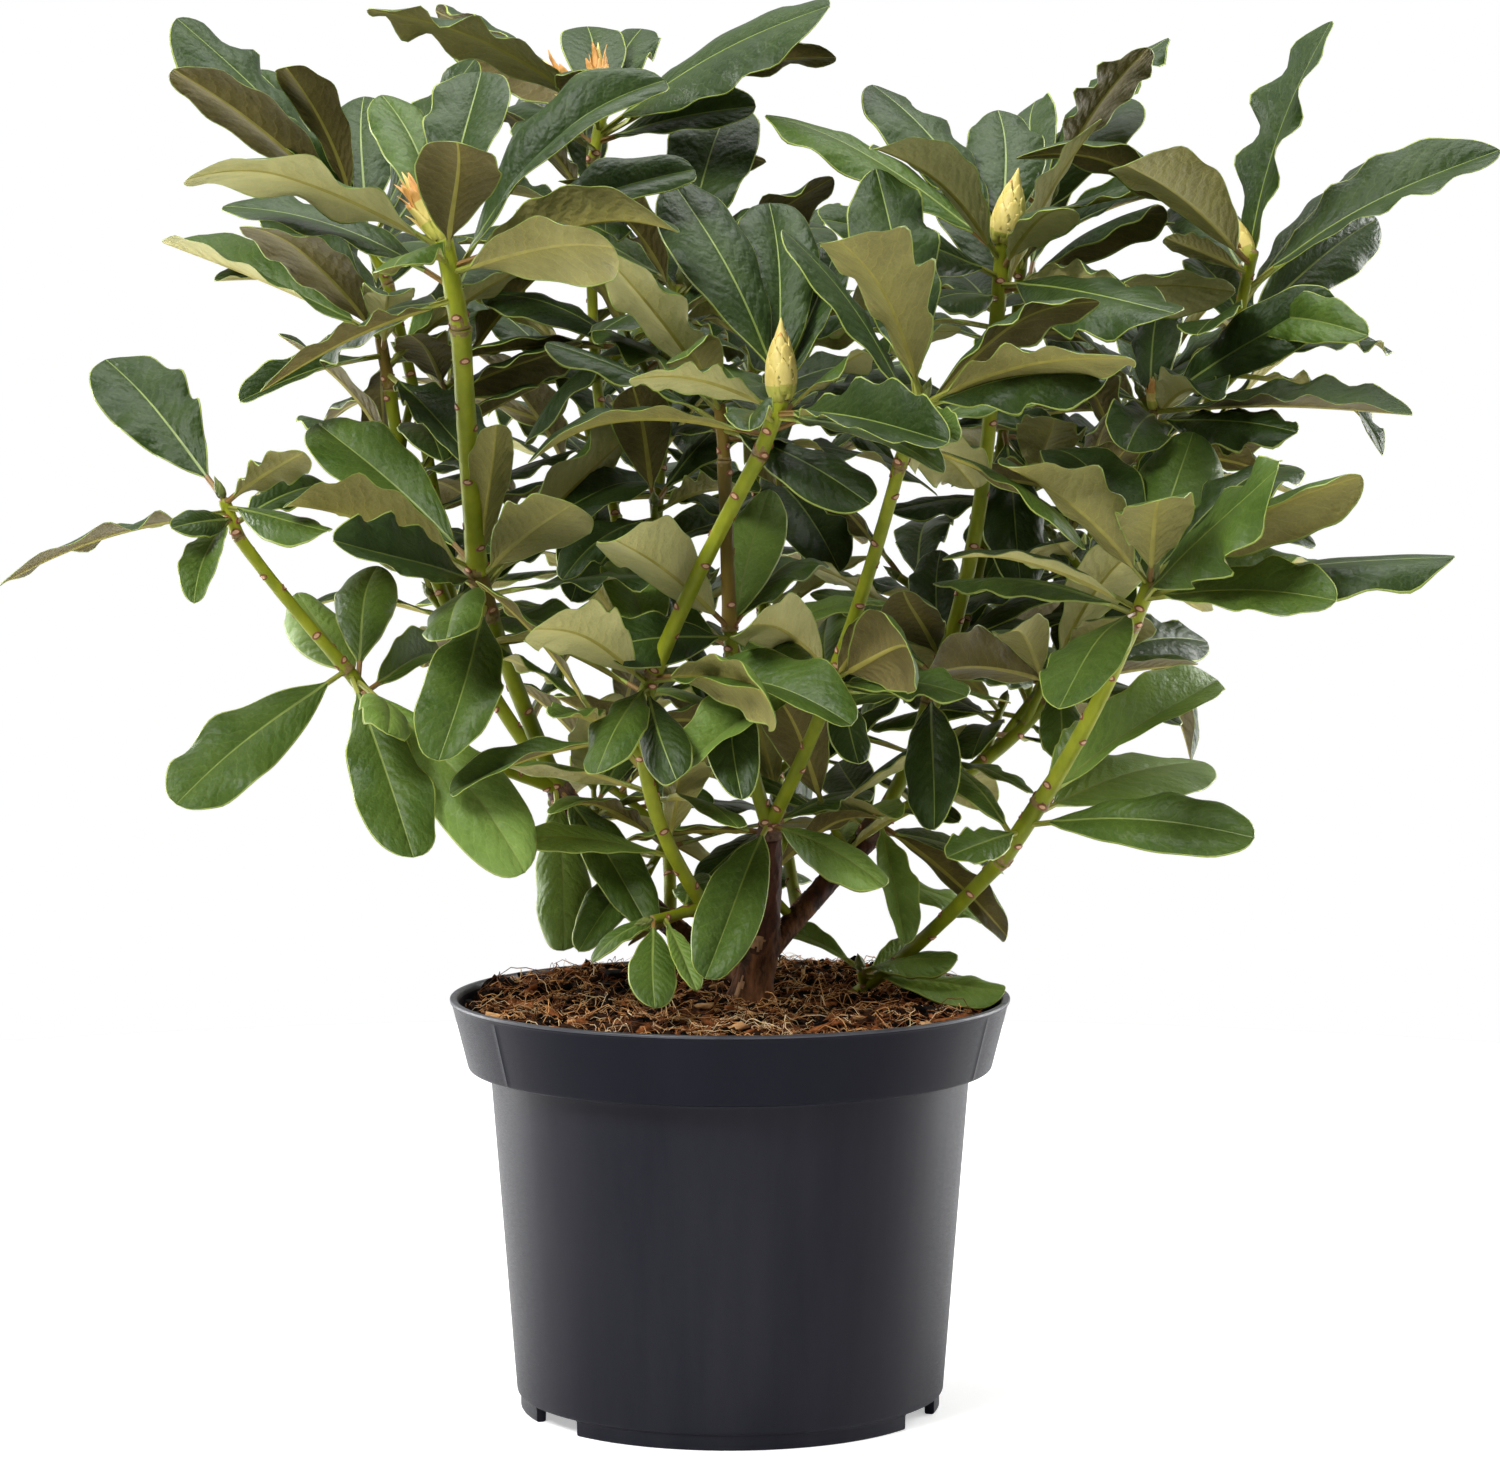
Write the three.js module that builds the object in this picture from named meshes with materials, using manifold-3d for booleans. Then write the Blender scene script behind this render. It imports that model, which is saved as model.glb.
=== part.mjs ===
// A young rhododendron in a round nursery pot, in millimetres, +Z up.
// The origin is the centre of the pot's underside. +X is to the right of the
// front view and +Y points away from it.
import * as THREE from "three";
import { mergeVertices } from "three/addons/utils/BufferGeometryUtils.js";
import Module from "manifold-3d";

const wasm = await Module();
wasm.setup();

// ---- driving dimensions -------------------------------------------------

const GAP = 0.3; // clearance kept between neighbouring pieces

const POT_HEIGHT = 170;
const RIM_RADIUS = 115;
const COLLAR_RADIUS = 107.5; // foot of the collar that runs round below the rim
const COLLAR_HEIGHT = 30;
const LIP_HEIGHT = 1.5; // rolled lip that stands proud round the rim
const LIP_PROUD = 0.8;
const WALL_TOP_RADIUS = 98.5;
const WALL_FOOT_RADIUS = 88;
const WALL_THICKNESS = 2;
const FOOT_RADIUS = 86.5;
const FOOT_HEIGHT = 7;
const FLOOR_THICKNESS = 4;
const POT_SIDES = 36;
const NOTCH_WIDTH = 30;
const NOTCH_HEIGHT = 6.5;
const NOTCH_COUNT = 3;
const FIRST_NOTCH = -25; // its heading from +X
const DRAIN_COUNT = 6;
const DRAIN_RADIUS = 5;
const DRAIN_CIRCLE = 62;
const PAD_RADIUS = 14; // moulding pad in the middle of the underside

const GROUND = 165; // level of the potting soil where the stems stand in it
const SOIL_EDGE_DROP = 4;
const SOIL_FLAT_RADIUS = 84;

const LIMB_SIDES = 5;
const TRUNK_SIDES = 14;
const PETIOLE_RADIUS = 1.3;
const LEAF_WIDTH = 0.35; // widest part of a leaf, as a share of its length
const LEAF_THICKNESS = 0.018; // depth of the keel under the midrib, as a share of its length
const LEAF_ARCH = 0.07; // how far a leaf's middle rises over its chord
const LEAF_STATIONS = [0, 0.14, 0.45, 0.78, 1]; // root, petiole end, blade, tip
const LEAF_OUTLINE = [0, 0, 0.96, 0.88, 0]; // half width at each station, as a share
const LEAF_SPACING = 27; // least angle between two leaves of one whorl
const GOLDEN_ANGLE = 137.5;
const TURNS = [0, 9, -9, 18, -18, 27, -27]; // turns tried by a leaf that is in the way
const WHORL_TOP = 0.94; // where the highest leaf of a whorl stands along its stem
const WHORL_DEPTH = 0.74; // how far down the stem the rest of the whorl reaches
const LOW_TIER_TOP = 0.42; // the same for the lower whorl of a stem with two tiers
const LOW_TIER_DEPTH = 0.3;
const HIGH_TIER_SHARE = 0.6; // share of the leaves that stand in the upper tier
const HEADING_PLAY = 24; // how far leaves placed by rule stray from it
const RISE_PLAY = 16;
const ROLL_PLAY = 70;
const OPEN_SIDE_DROP = 40; // how much lower leaves hang that point straight to the front
const LENGTH_PLAY = 0.14;
const YOUNG_LEAF = 0.82; // length of the topmost leaves as a share of the usual length
const OLD_LEAF = 0.98;

// Limbs: name, what it grows from, how far along that, tip, bow of the middle,
// radius at the foot and at the tip. A limb named leaves_ is the stem of a mass.
const LIMBS = [
  ["trunk", "ground", 0, [16, -12, 236], [5, 4, 0], 8, 4.6],
  ["leaves_middle_fork", "trunk", 1, [16, -13, 243], [0, 0, 0], 5, 4.4],
  ["bough_left", "trunk", 0.2, [-68, 30, 246], [-2, 50, -26], 5, 4.2],
  ["leaves_left_knot", "bough_left", 1, [-73, 28, 255], [0, 0, 0], 5.4, 5],
  ["bough_low_left", "leaves_left_knot", 0.8, [-142, -22, 289], [0, -6, -4], 2.9, 2.5],
  ["leaves_low_left_node", "bough_low_left", 1, [-155, -26, 307], [0, 0, 0], 2.9, 2.7],
  ["bough_far_left", "leaves_low_left_node", 0.9, [-196, -40, 360], [-8, -4, 8], 2.5, 2.4],
  ["leaves_far_left", "bough_far_left", 1, [-202, -42, 376], [0, 0, 0], 2.5, 2.5],
  ["bough_tall_left", "leaves_left_knot", 0.8, [-97, -18, 327], [-4, 0, 6], 3.5, 3.4],
  ["leaves_tall_left_node", "bough_tall_left", 1, [-102, -30, 348], [0, 0, 0], 4, 4],
  ["bough_tall_left_top", "leaves_tall_left_node", 0.9, [-105, -72, 443], [0, -4, 0], 4.2, 3.9],
  ["leaves_tall_left_top", "bough_tall_left_top", 1, [-111, -80, 479], [0, 0, 0], 3.9, 3.7],
  ["bough_outer_left", "leaves_left_knot", 0.8, [-142, 50, 418], [-26, 16, -8], 3, 2.7],
  ["leaves_outer_left", "bough_outer_left", 1, [-146, 48, 441], [0, 0, 0], 2.7, 2.5],
  ["bough_back_left", "bough_outer_left", 0.45, [-146, 95, 462], [2, 30, 2], 2.5, 2.4],
  ["leaves_back_left", "bough_back_left", 1, [-160, 90, 494], [0, 0, 0], 2.5, 2.4],
  ["bough_front", "trunk", 0.26, [-35, -56, 293], [-26, -20, 0], 3, 2.8],
  ["leaves_foot_left", "bough_front", 0.3, [-32, -43, 206], [0, 0, 0], 2.2, 2],
  ["leaves_front_node", "bough_front", 1, [-30, -62, 307], [0, 0, 0], 3.4, 3.4],
  ["bough_front_top", "leaves_front_node", 0.9, [12, -94, 394], [-3, 4, 0], 3.2, 3],
  ["leaves_front_top", "bough_front_top", 1, [21, -100, 417], [0, 0, 0], 3.2, 3.2],
  ["bough_inner", "bough_front", 0.7, [-23, 42, 441], [-10, 38, -20], 2.4, 2.2],
  ["leaves_inner", "bough_inner", 1, [-21, 44, 462], [0, 0, 0], 2.4, 2.2],
  ["bough_crown", "bough_inner", 0.35, [-58, 72, 512], [-18, 54, -18], 2.4, 2.2],
  ["leaves_crown", "bough_crown", 1, [-54, 72, 533], [0, 0, 0], 2.7, 2.5],
  ["bough_middle_left", "leaves_middle_fork", 0.7, [1, -36, 310], [-2, 2, -8], 3, 2.8],
  ["leaves_middle_left_node", "bough_middle_left", 1, [0, -38, 324], [0, 0, 0], 3, 2.9],
  ["bough_middle_left_top", "leaves_middle_left_node", 0.9, [-2, -50, 391], [0, 0, 0], 2.8, 2.7],
  ["leaves_middle_left_top", "bough_middle_left_top", 1, [-4, -52, 414], [0, 0, 0], 2.5, 2.5],
  ["bough_middle_right", "leaves_middle_fork", 0.7, [38, -43, 293], [0, 0, -4], 2.9, 2.7],
  ["leaves_middle_right_node", "bough_middle_right", 1, [43, -50, 309], [0, 0, 0], 3, 3],
  ["bough_middle_right_top", "leaves_middle_right_node", 0.9, [66, -98, 390], [3, 0, 4], 2.9, 2.5],
  ["leaves_middle_right_top", "bough_middle_right_top", 1, [75, -112, 417], [0, 0, 0], 2.9, 2.7],
  ["bough_right", "trunk", 0.3, [57, 32, 231], [0, 12, 0], 4.6, 4.4],
  ["leaves_right_knot", "bough_right", 1, [62, 31, 240], [0, 0, 0], 5.4, 5],
  ["bough_tall_right", "leaves_right_knot", 0.8, [82, 24, 289], [2, 0, -8], 3, 2.9],
  ["leaves_tall_right_node", "bough_tall_right", 1, [88, 22, 306], [0, 0, 0], 3.2, 3.2],
  ["bough_tall_right_top", "leaves_tall_right_node", 0.9, [107, 0, 430], [8, 6, -10], 3.2, 2.9],
  ["leaves_tall_right_top", "bough_tall_right_top", 1, [111, -6, 481], [0, 0, 0], 3, 3.4],
  ["bough_outer_right", "leaves_right_knot", 0.8, [132, 50, 287], [12, 12, -6], 2.9, 2.7],
  ["leaves_outer_right_node", "bough_outer_right", 1, [140, 50, 302], [0, 0, 0], 3, 3],
  ["bough_outer_right_top", "leaves_outer_right_node", 0.9, [173, 40, 393], [6, 6, -8], 2.7, 2.4],
  ["leaves_outer_right_top", "bough_outer_right_top", 1, [176, 38, 411], [0, 0, 0], 2.5, 2.5],
  ["bough_upper_right", "bough_outer_right_top", 0.35, [207, 50, 426], [6, 22, 4], 2.4, 2.2],
  ["leaves_upper_right", "bough_upper_right", 1, [216, 32, 476], [0, 0, 0], 2.5, 2.5],
  ["bough_low_right", "ground", 0, [109, -40, 230], [-4, 4, -12], 2.6, 3.2],
  ["leaves_foot_right", "bough_low_right", 0.16, [54, 8, 180], [0, 0, 0], 2.2, 2],
  ["leaves_low_right_node", "bough_low_right", 1, [125, -50, 256], [0, 0, 0], 3.7, 3.7],
  ["bough_far_right", "leaves_low_right_node", 0.9, [158, -75, 326], [4, -2, 0], 3.3, 3],
  ["leaves_far_right", "bough_far_right", 1, [165, -82, 345], [0, 0, 0], 3.2, 3],
  ["bough_rear_left", "bough_left", 0.45, [-46, 148, 312], [12, 20, -20], 2.7, 2.5],
  ["leaves_rear_left", "bough_rear_left", 1, [-73, 178, 432], [6, 6, 0], 2.5, 2.4],
  ["bough_rear_middle", "bough_right", 0.4, [14, 152, 310], [0, 30, -30], 2.7, 2.5],
  ["leaves_rear_middle", "bough_rear_middle", 1, [8, 186, 455], [0, 10, 0], 2.5, 2.4],
  ["bough_behind_right", "leaves_right_knot", 0.6, [114, 92, 382], [16, 32, -6], 2.7, 2.5],
  ["leaves_behind_right", "bough_behind_right", 1, [125, 86, 492], [2, 2, 0], 2.5, 2.4],
  ["bough_rear_right", "bough_outer_right", 0.5, [148, 150, 312], [6, 22, -14], 2.5, 2.4],
  ["leaves_rear_right", "bough_rear_right", 1, [175, 188, 409], [2, 6, 0], 2.4, 2.4],
];
const TRUNK_FOOT = [7, 0];
const LOW_RIGHT_FOOT = [45, 27];
const TRUNK_FLARE = 2;

// Leaves of each mass: how many in all, usual length, rise of the top leaves and
// of the lowest ones, and in `shows` the heading, rise, length and roll of the
// leaves that give the plant its outline. Headings turn from +X towards +Y, and
// a roll tips the upper side of the blade towards the front.
const LEAVES = {
  leaves_middle_fork: { count: 4, size: 70, rises: [10, -30],
    shows: [[-110, -36, 92, 15], [-46, -16, 68, 35]] },
  leaves_left_knot: { count: 4, size: 80, rises: [0, -40],
    shows: [[-84, -48, 80, 0], [-54, -38, 86, 20]] },
  leaves_low_left_node: { count: 7, size: 75, rises: [45, -20],
    shows: [[-135, -29, 100, 42], [-65, -44, 96, 18], [-39, -39, 112, 32], [87, 35, 78, 0],
      [123, 33, 66, 20], [64, 10, 75, 30]] },
  leaves_far_left: { count: 7, size: 70, rises: [50, -30],
    shows: [[135, 36, 94, 40], [-52, 21, 62, -20], [-45, -7, 62, 30], [-136, -12, 112, -12],
      [-102, -35, 56, 0], [-113, 1, 42, 55], [60, 13, 66, 25]] },
  leaves_tall_left_node: { count: 11, size: 90, rises: [45, -5],
    shows: [[139, 32, 108, 38], [-142, 20, 95, -20], [-79, 50, 82, 0], [-62, 21, 92, -25],
      [44, 23, 114, 15], [-124, 13, 96, 55], [-97, -11, 80, -25], [39, 40, 104, -60]] },
  leaves_tall_left_top: { count: 13, size: 100, rises: [60, -5], buds: [[150, 65, 34]],
    shows: [[78, 51, 88, 0], [117, 44, 88, 0], [-157, 20, 108, -20], [-83, 32, 80, 0],
      [-101, -2, 80, -25], [-28, 11, 104, -25], [-47, 6, 98, -35], [4, 24, 104, 30],
      [-7, 47, 114, 35]] },
  leaves_outer_left: { count: 11, size: 90, rises: [50, -15],
    shows: [[160, 22, 108, 20], [-123, 31, 98, -5], [136, 42, 92, 20], [113, 39, 86, 0],
      [-83, 24, 66, -5], [-143, -15, 72, 20], [95, -36, 62, 25], [73, -4, 60, 25]] },
  leaves_back_left: { count: 10, size: 95, rises: [55, -10],
    shows: [[-113, 44, 84, 0], [137, 45, 92, 20], [176, 48, 117, 30], [-142, 35, 113, -15],
      [95, 45, 92, 0], [-157, 50, 66, 55]] },
  leaves_foot_left: { count: 4, size: 45, rises: [10, -40],
    shows: [[-88, -35, 50, 0], [-67, -36, 43, 0], [-145, -19, 42, 10]] },
  leaves_front_node: { count: 8, size: 75, rises: [40, -20],
    shows: [[100, 30, 84, 0], [-59, -1, 100, -50], [-42, -3, 103, 25], [-121, 18, 86, -30],
      [-107, -20, 68, 5], [-78, -26, 58, 20]] },
  leaves_front_top: { count: 12, size: 95, rises: [60, -15], buds: [[-90, 85, 34]],
    shows: [[132, 53, 106, 15], [94, 53, 98, 0], [70, 43, 96, 0], [-150, 12, 66, -25],
      [-53, -5, 105, 30], [-35, -12, 79, 25], [-98, -2, 66, -20]] },
  leaves_inner: { count: 10, size: 90, rises: [60, -10],
    shows: [[68, 56, 100, 0], [146, 23, 90, 20], [-66, 9, 84, 25], [113, 18, 80, -25]] },
  leaves_crown: { count: 10, size: 100, rises: [55, -10], buds: [[150, 50, 40], [100, 76, 40]],
    shows: [[-149, 21, 116, -15], [141, 28, 106, -55], [97, 38, 74, 0], [79, 29, 96, 0],
      [-92, 21, 70, -10], [-34, 23, 126, 45], [-6, 22, 106, -20], [-21, 11, 73, 45],
      [121, 16, 86, 35], [-115, 2, 72, 25]] },
  leaves_middle_left_node: { count: 8, size: 75, rises: [40, -15],
    shows: [[-118, 23, 100, -35], [62, 22, 82, 5], [-62, -9, 66, 35], [-140, 0, 62, 60],
      [73, 48, 80, 0]] },
  leaves_middle_left_top: { count: 9, size: 85, rises: [50, -10],
    shows: [[-124, 37, 100, 0], [-102, 21, 80, -30], [124, 22, 92, -25], [33, 17, 80, 20]] },
  leaves_middle_right_node: { count: 8, size: 75, rises: [40, -15],
    shows: [[-145, -25, 82, 30], [-77, -42, 50, 0], [-117, 18, 78, -35], [-72, 11, 103, -60],
      [-68, 29, 54, -45]] },
  leaves_middle_right_top: { count: 10, size: 90, rises: [55, -10],
    shows: [[-114, 36, 102, 0], [-47, 10, 108, -25], [-30, 11, 80, 40], [106, 61, 110, 0],
      [160, 55, 90, 10], [-77, -4, 62, 25]] },
  leaves_right_knot: { count: 5, size: 70, rises: [10, -30],
    shows: [[-78, -42, 66, 0], [-42, -30, 82, -60], [102, 17, 70, 20]] },
  leaves_tall_right_node: { count: 9, size: 75, rises: [45, -10],
    shows: [[-106, 27, 74, -15], [57, 14, 116, -25], [42, 24, 56, 10], [87, 41, 74, 0],
      [50, -2, 65, 45]] },
  leaves_tall_right_top: { count: 13, size: 95, rises: [60, -15], buds: [[-30, 76, 32]],
    shows: [[134, 42, 100, 20], [89, 43, 86, 0], [167, 32, 116, 25], [-128, 27, 96, -5],
      [-67, 24, 66, -5], [-140, 13, 98, 50], [-60, -5, 122, 35], [-42, 1, 68, -40],
      [-115, -1, 70, 25]] },
  leaves_outer_right_node: { count: 8, size: 70, rises: [40, -20],
    shows: [[40, 5, 86, 48], [-66, 22, 74, -20], [74, 33, 64, 0], [-92, -29, 62, 0],
      [-127, 5, 96, -50]] },
  leaves_outer_right_top: { count: 9, size: 85, rises: [50, -10], buds: [[-100, 75, 14]],
    shows: [[-30, 30, 92, 75], [-29, 0, 114, 12], [-103, -10, 72, 35], [14, 30, 91, -40],
      [-49, 0, 75, 35]] },
  leaves_upper_right: { count: 10, size: 95, rises: [65, -15], buds: [[150, 68, 22]],
    shows: [[-165, 26, 110, -20], [-121, 18, 121, -10], [-138, 16, 52, -35], [102, 27, 90, 5],
      [-7, 29, 119, 30], [-10, 73, 120, 30], [22, 46, 90, 10], [-60, -4, 84, 70],
      [-107, -2, 80, -25], [40, 30, 100, 55]] },
  leaves_foot_right: { count: 4, size: 48, rises: [20, -10],
    shows: [[146, 16, 50, 15], [-36, 11, 48, 30], [-22, -3, 62, 20]] },
  leaves_low_right_node: { count: 6, size: 85, rises: [40, -30],
    shows: [[63, 17, 78, 15], [39, 25, 112, 22], [45, 8, 110, 25], [-35, 1, 104, 45],
      [-124, -4, 54, 35], [121, 26, 68, 0]] },
  leaves_far_right: { count: 13, size: 90, rises: [50, -15],
    shows: [[-92, 28, 84, 0], [-130, 28, 104, -10], [110, 34, 104, 0], [40, 34, 96, 0],
      [-36, 27, 106, -15], [-21, 8, 124, 14], [-46, 2, 96, 35], [27, 10, 86, 20],
      [-60, 32, 104, 65], [66, 40, 104, 0]] },
  leaves_behind_right: { count: 14, size: 95, rises: [60, -20], tiers: 2,
    shows: [[28, 49, 109, 0], [53, 41, 100, 0], [10, 20, 88, 25], [-78, 18, 70, 25]] },
  leaves_rear_left: { count: 14, size: 98, rises: [55, -20], tiers: 2, shows: [] },
  leaves_rear_middle: { count: 14, size: 98, rises: [60, -20], tiers: 2, shows: [] },
  leaves_rear_right: { count: 14, size: 95, rises: [50, -20], tiers: 2, shows: [] },
};

const POT_COLOUR = 0x1d1f22;
const SOIL_COLOUR = 0x3a2418;
const BARK_COLOUR = 0x5a4030;
const SHOOT_COLOUR = 0x7d9436;
const LEAF_COLOUR = 0x3f6a35;
const WOODY_LIMBS = ["trunk", "bough_left", "bough_right", "bough_front"];

// ---- shared helpers -----------------------------------------------------

/** A repeatable number from 0 to 1 for each whole number. */
function noise(number) {
  const wave = Math.sin(number * 127.1 + 311.7) * 43758.5453;
  return wave - Math.floor(wave);
}

const radians = THREE.MathUtils.degToRad;
const { lerp } = THREE.MathUtils;

/** Unit vector with this heading from +X and this rise above level, in degrees. */
function direction(heading, rise) {
  const level = Math.cos(radians(rise));
  return new THREE.Vector3(
    level * Math.cos(radians(heading)),
    level * Math.sin(radians(heading)),
    Math.sin(radians(rise)),
  );
}

/** A closed three.js geometry as a solid that can be joined and cut. */
function solidOf(geometry) {
  const bare = geometry.clone();
  bare.deleteAttribute("normal");
  bare.deleteAttribute("uv");
  const merged = mergeVertices(bare, 1e-4);
  return new wasm.Manifold(new wasm.Mesh({
    numProp: 3,
    vertProperties: new Float32Array(merged.attributes.position.array),
    triVerts: new Uint32Array(merged.index.array),
  }));
}

/** A solid as a named mesh with its own material. */
function meshOf(name, solid, colour, roughness) {
  const { vertProperties, triVerts } = solid.getMesh();
  const geometry = new THREE.BufferGeometry();
  geometry.setAttribute("position", new THREE.BufferAttribute(vertProperties, 3));
  geometry.setIndex(new THREE.BufferAttribute(triVerts, 1));
  geometry.computeVertexNormals();
  const material = new THREE.MeshStandardMaterial({ color: colour, roughness, metalness: 0 });
  const mesh = new THREE.Mesh(geometry, material);
  mesh.name = name;
  return mesh;
}

/** The largest body of a solid, for a cut that leaves a scrap. */
function largestBody(solid) {
  const bodies = solid.decompose();
  return bodies.reduce((best, body) => (body.volume() > best.volume() ? body : best));
}

/** Whether two boxes come within the gap of each other. */
function boxesMeet(a, b) {
  return [0, 1, 2].every((i) => a.min[i] - GAP < b.max[i] && b.min[i] - GAP < a.max[i]);
}

// ---- pot: moulded shell with a collar, a notched foot ring and drain holes ----

function ringSolid(profile, segments) {
  const points = profile.map(([radius, z]) => new THREE.Vector2(radius, z));
  return solidOf(new THREE.LatheGeometry(points, segments).rotateX(Math.PI / 2));
}

function makePot() {
  const collarFoot = POT_HEIGHT - COLLAR_HEIGHT;
  const floorTop = FOOT_HEIGHT + FLOOR_THICKNESS;
  const shell = ringSolid([
    [0, 0],
    [PAD_RADIUS, 0],
    [PAD_RADIUS, FOOT_HEIGHT],
    [FOOT_RADIUS - 2 * WALL_THICKNESS, FOOT_HEIGHT],
    [FOOT_RADIUS - 2 * WALL_THICKNESS, 0],
    [FOOT_RADIUS, 0],
    [FOOT_RADIUS, FOOT_HEIGHT - 1],
    [WALL_FOOT_RADIUS, FOOT_HEIGHT],
    [WALL_TOP_RADIUS, collarFoot],
    [COLLAR_RADIUS, collarFoot + 1],
    [RIM_RADIUS - LIP_PROUD, POT_HEIGHT - LIP_HEIGHT - LIP_PROUD],
    [RIM_RADIUS, POT_HEIGHT - LIP_HEIGHT],
    [RIM_RADIUS, POT_HEIGHT],
    [RIM_RADIUS - LIP_PROUD - WALL_THICKNESS, POT_HEIGHT],
    [COLLAR_RADIUS - WALL_THICKNESS, collarFoot + 1 + WALL_THICKNESS],
    [WALL_TOP_RADIUS - WALL_THICKNESS, collarFoot + WALL_THICKNESS],
    [WALL_FOOT_RADIUS - WALL_THICKNESS, floorTop],
    [0, floorTop],
  ], POT_SIDES);
  const cuts = [];
  for (let i = 0; i < NOTCH_COUNT; i += 1) {
    const turn = radians(FIRST_NOTCH + i * 360 / NOTCH_COUNT);
    const notch = new THREE.BoxGeometry(12 * WALL_THICKNESS, NOTCH_WIDTH, 2 * NOTCH_HEIGHT);
    cuts.push(solidOf(notch.translate(FOOT_RADIUS, 0, 0).rotateZ(turn)));
  }
  for (let i = 0; i < DRAIN_COUNT; i += 1) {
    const turn = radians(i * 360 / DRAIN_COUNT);
    const drain = new THREE.CylinderGeometry(DRAIN_RADIUS, DRAIN_RADIUS, 4 * FOOT_HEIGHT, 8);
    cuts.push(solidOf(drain.rotateX(Math.PI / 2).translate(DRAIN_CIRCLE, 0, 0).rotateZ(turn)));
  }
  return cuts.reduce((pot, cut) => pot.subtract(cut), shell);
}

// ---- potting soil: fills the pot to just under the rim ----

function makeSoil() {
  const collarFoot = POT_HEIGHT - COLLAR_HEIGHT;
  const inset = WALL_THICKNESS + GAP;
  const top = GROUND - SOIL_EDGE_DROP;
  const slope = (RIM_RADIUS - COLLAR_RADIUS) / COLLAR_HEIGHT;
  const topRadius = COLLAR_RADIUS + slope * (top - collarFoot) - inset - 1;
  return ringSolid([
    [0, FOOT_HEIGHT + FLOOR_THICKNESS + GAP],
    [WALL_FOOT_RADIUS - inset, FOOT_HEIGHT + FLOOR_THICKNESS + GAP],
    [WALL_TOP_RADIUS - inset, collarFoot + inset],
    [COLLAR_RADIUS - inset - 1, collarFoot + 1 + inset],
    [topRadius, top],
    [SOIL_FLAT_RADIUS, GROUND],
    [0, GROUND],
  ], POT_SIDES);
}

// ---- limbs: a tapering stem carried along a bowed curve ----

/** Curve from a start to a tip whose middle stands off the chord by half the bow. */
function limbCurve(start, tip, bow) {
  const bend = start.clone().add(tip).multiplyScalar(0.5).add(new THREE.Vector3(...bow));
  return new THREE.QuadraticBezierCurve3(start, bend, tip);
}

/** Rings of a cylinder placed square to the curve, swollen by `grow` all round. */
function limbSolid(limb, grow = 0) {
  const { curve, sides, steps, radiusAt } = limb;
  const geometry = new THREE.CylinderGeometry(1, 1, 1, sides, steps);
  const frames = curve.computeFrenetFrames(steps, false);
  const position = geometry.attributes.position;
  for (let i = 0; i < position.count; i += 1) {
    const ring = Math.round((position.getY(i) + 0.5) * steps);
    const share = ring / steps;
    const radius = radiusAt(share) + grow;
    const endShift = ring === 0 ? -grow : ring === steps ? grow : 0;
    const point = curve.getPointAt(share)
      .addScaledVector(frames.tangents[ring], endShift)
      .addScaledVector(frames.normals[ring], radius * position.getX(i))
      .addScaledVector(frames.binormals[ring], -radius * position.getZ(i));
    position.setXYZ(i, point.x, point.y, point.z);
  }
  return solidOf(geometry);
}

/** All limbs by name, each cut clear of what it grows from and of earlier limbs. */
function makeLimbs() {
  const below = new THREE.BoxGeometry(400, 400, 100).translate(0, 0, GROUND + GAP - 50);
  const groundCut = solidOf(below);
  const limbs = new Map();
  for (const [name, parentName, along, tip, bow, footRadius, tipRadius] of LIMBS) {
    const parent = limbs.get(parentName);
    const foot = name === "trunk" ? TRUNK_FOOT : LOW_RIGHT_FOOT;
    const start = parent ? parent.curve.getPointAt(along) : new THREE.Vector3(...foot, GROUND - 3);
    const curve = limbCurve(start, new THREE.Vector3(...tip), bow);
    const flare = name === "trunk" ? TRUNK_FLARE : 0;
    const limb = {
      name,
      curve,
      sides: name === "trunk" ? TRUNK_SIDES : LIMB_SIDES,
      steps: curve.getLength() > 60 ? 5 : curve.getLength() > 30 ? 3 : 1,
      radiusAt: (share) => lerp(footRadius, tipRadius, share) + flare * (1 - share) ** 8,
    };
    let solid = limbSolid(limb);
    for (const other of limbs.values()) {
      if (boxesMeet(solid.boundingBox(), other.swollen.boundingBox())) {
        solid = solid.subtract(other.swollen);
      }
    }
    limb.solid = largestBody(parent ? solid : solid.subtract(groundCut));
    limb.swollen = limbSolid(limb, GAP);
    limbs.set(name, limb);
  }
  return limbs;
}

// ---- leaves and buds ----

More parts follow.
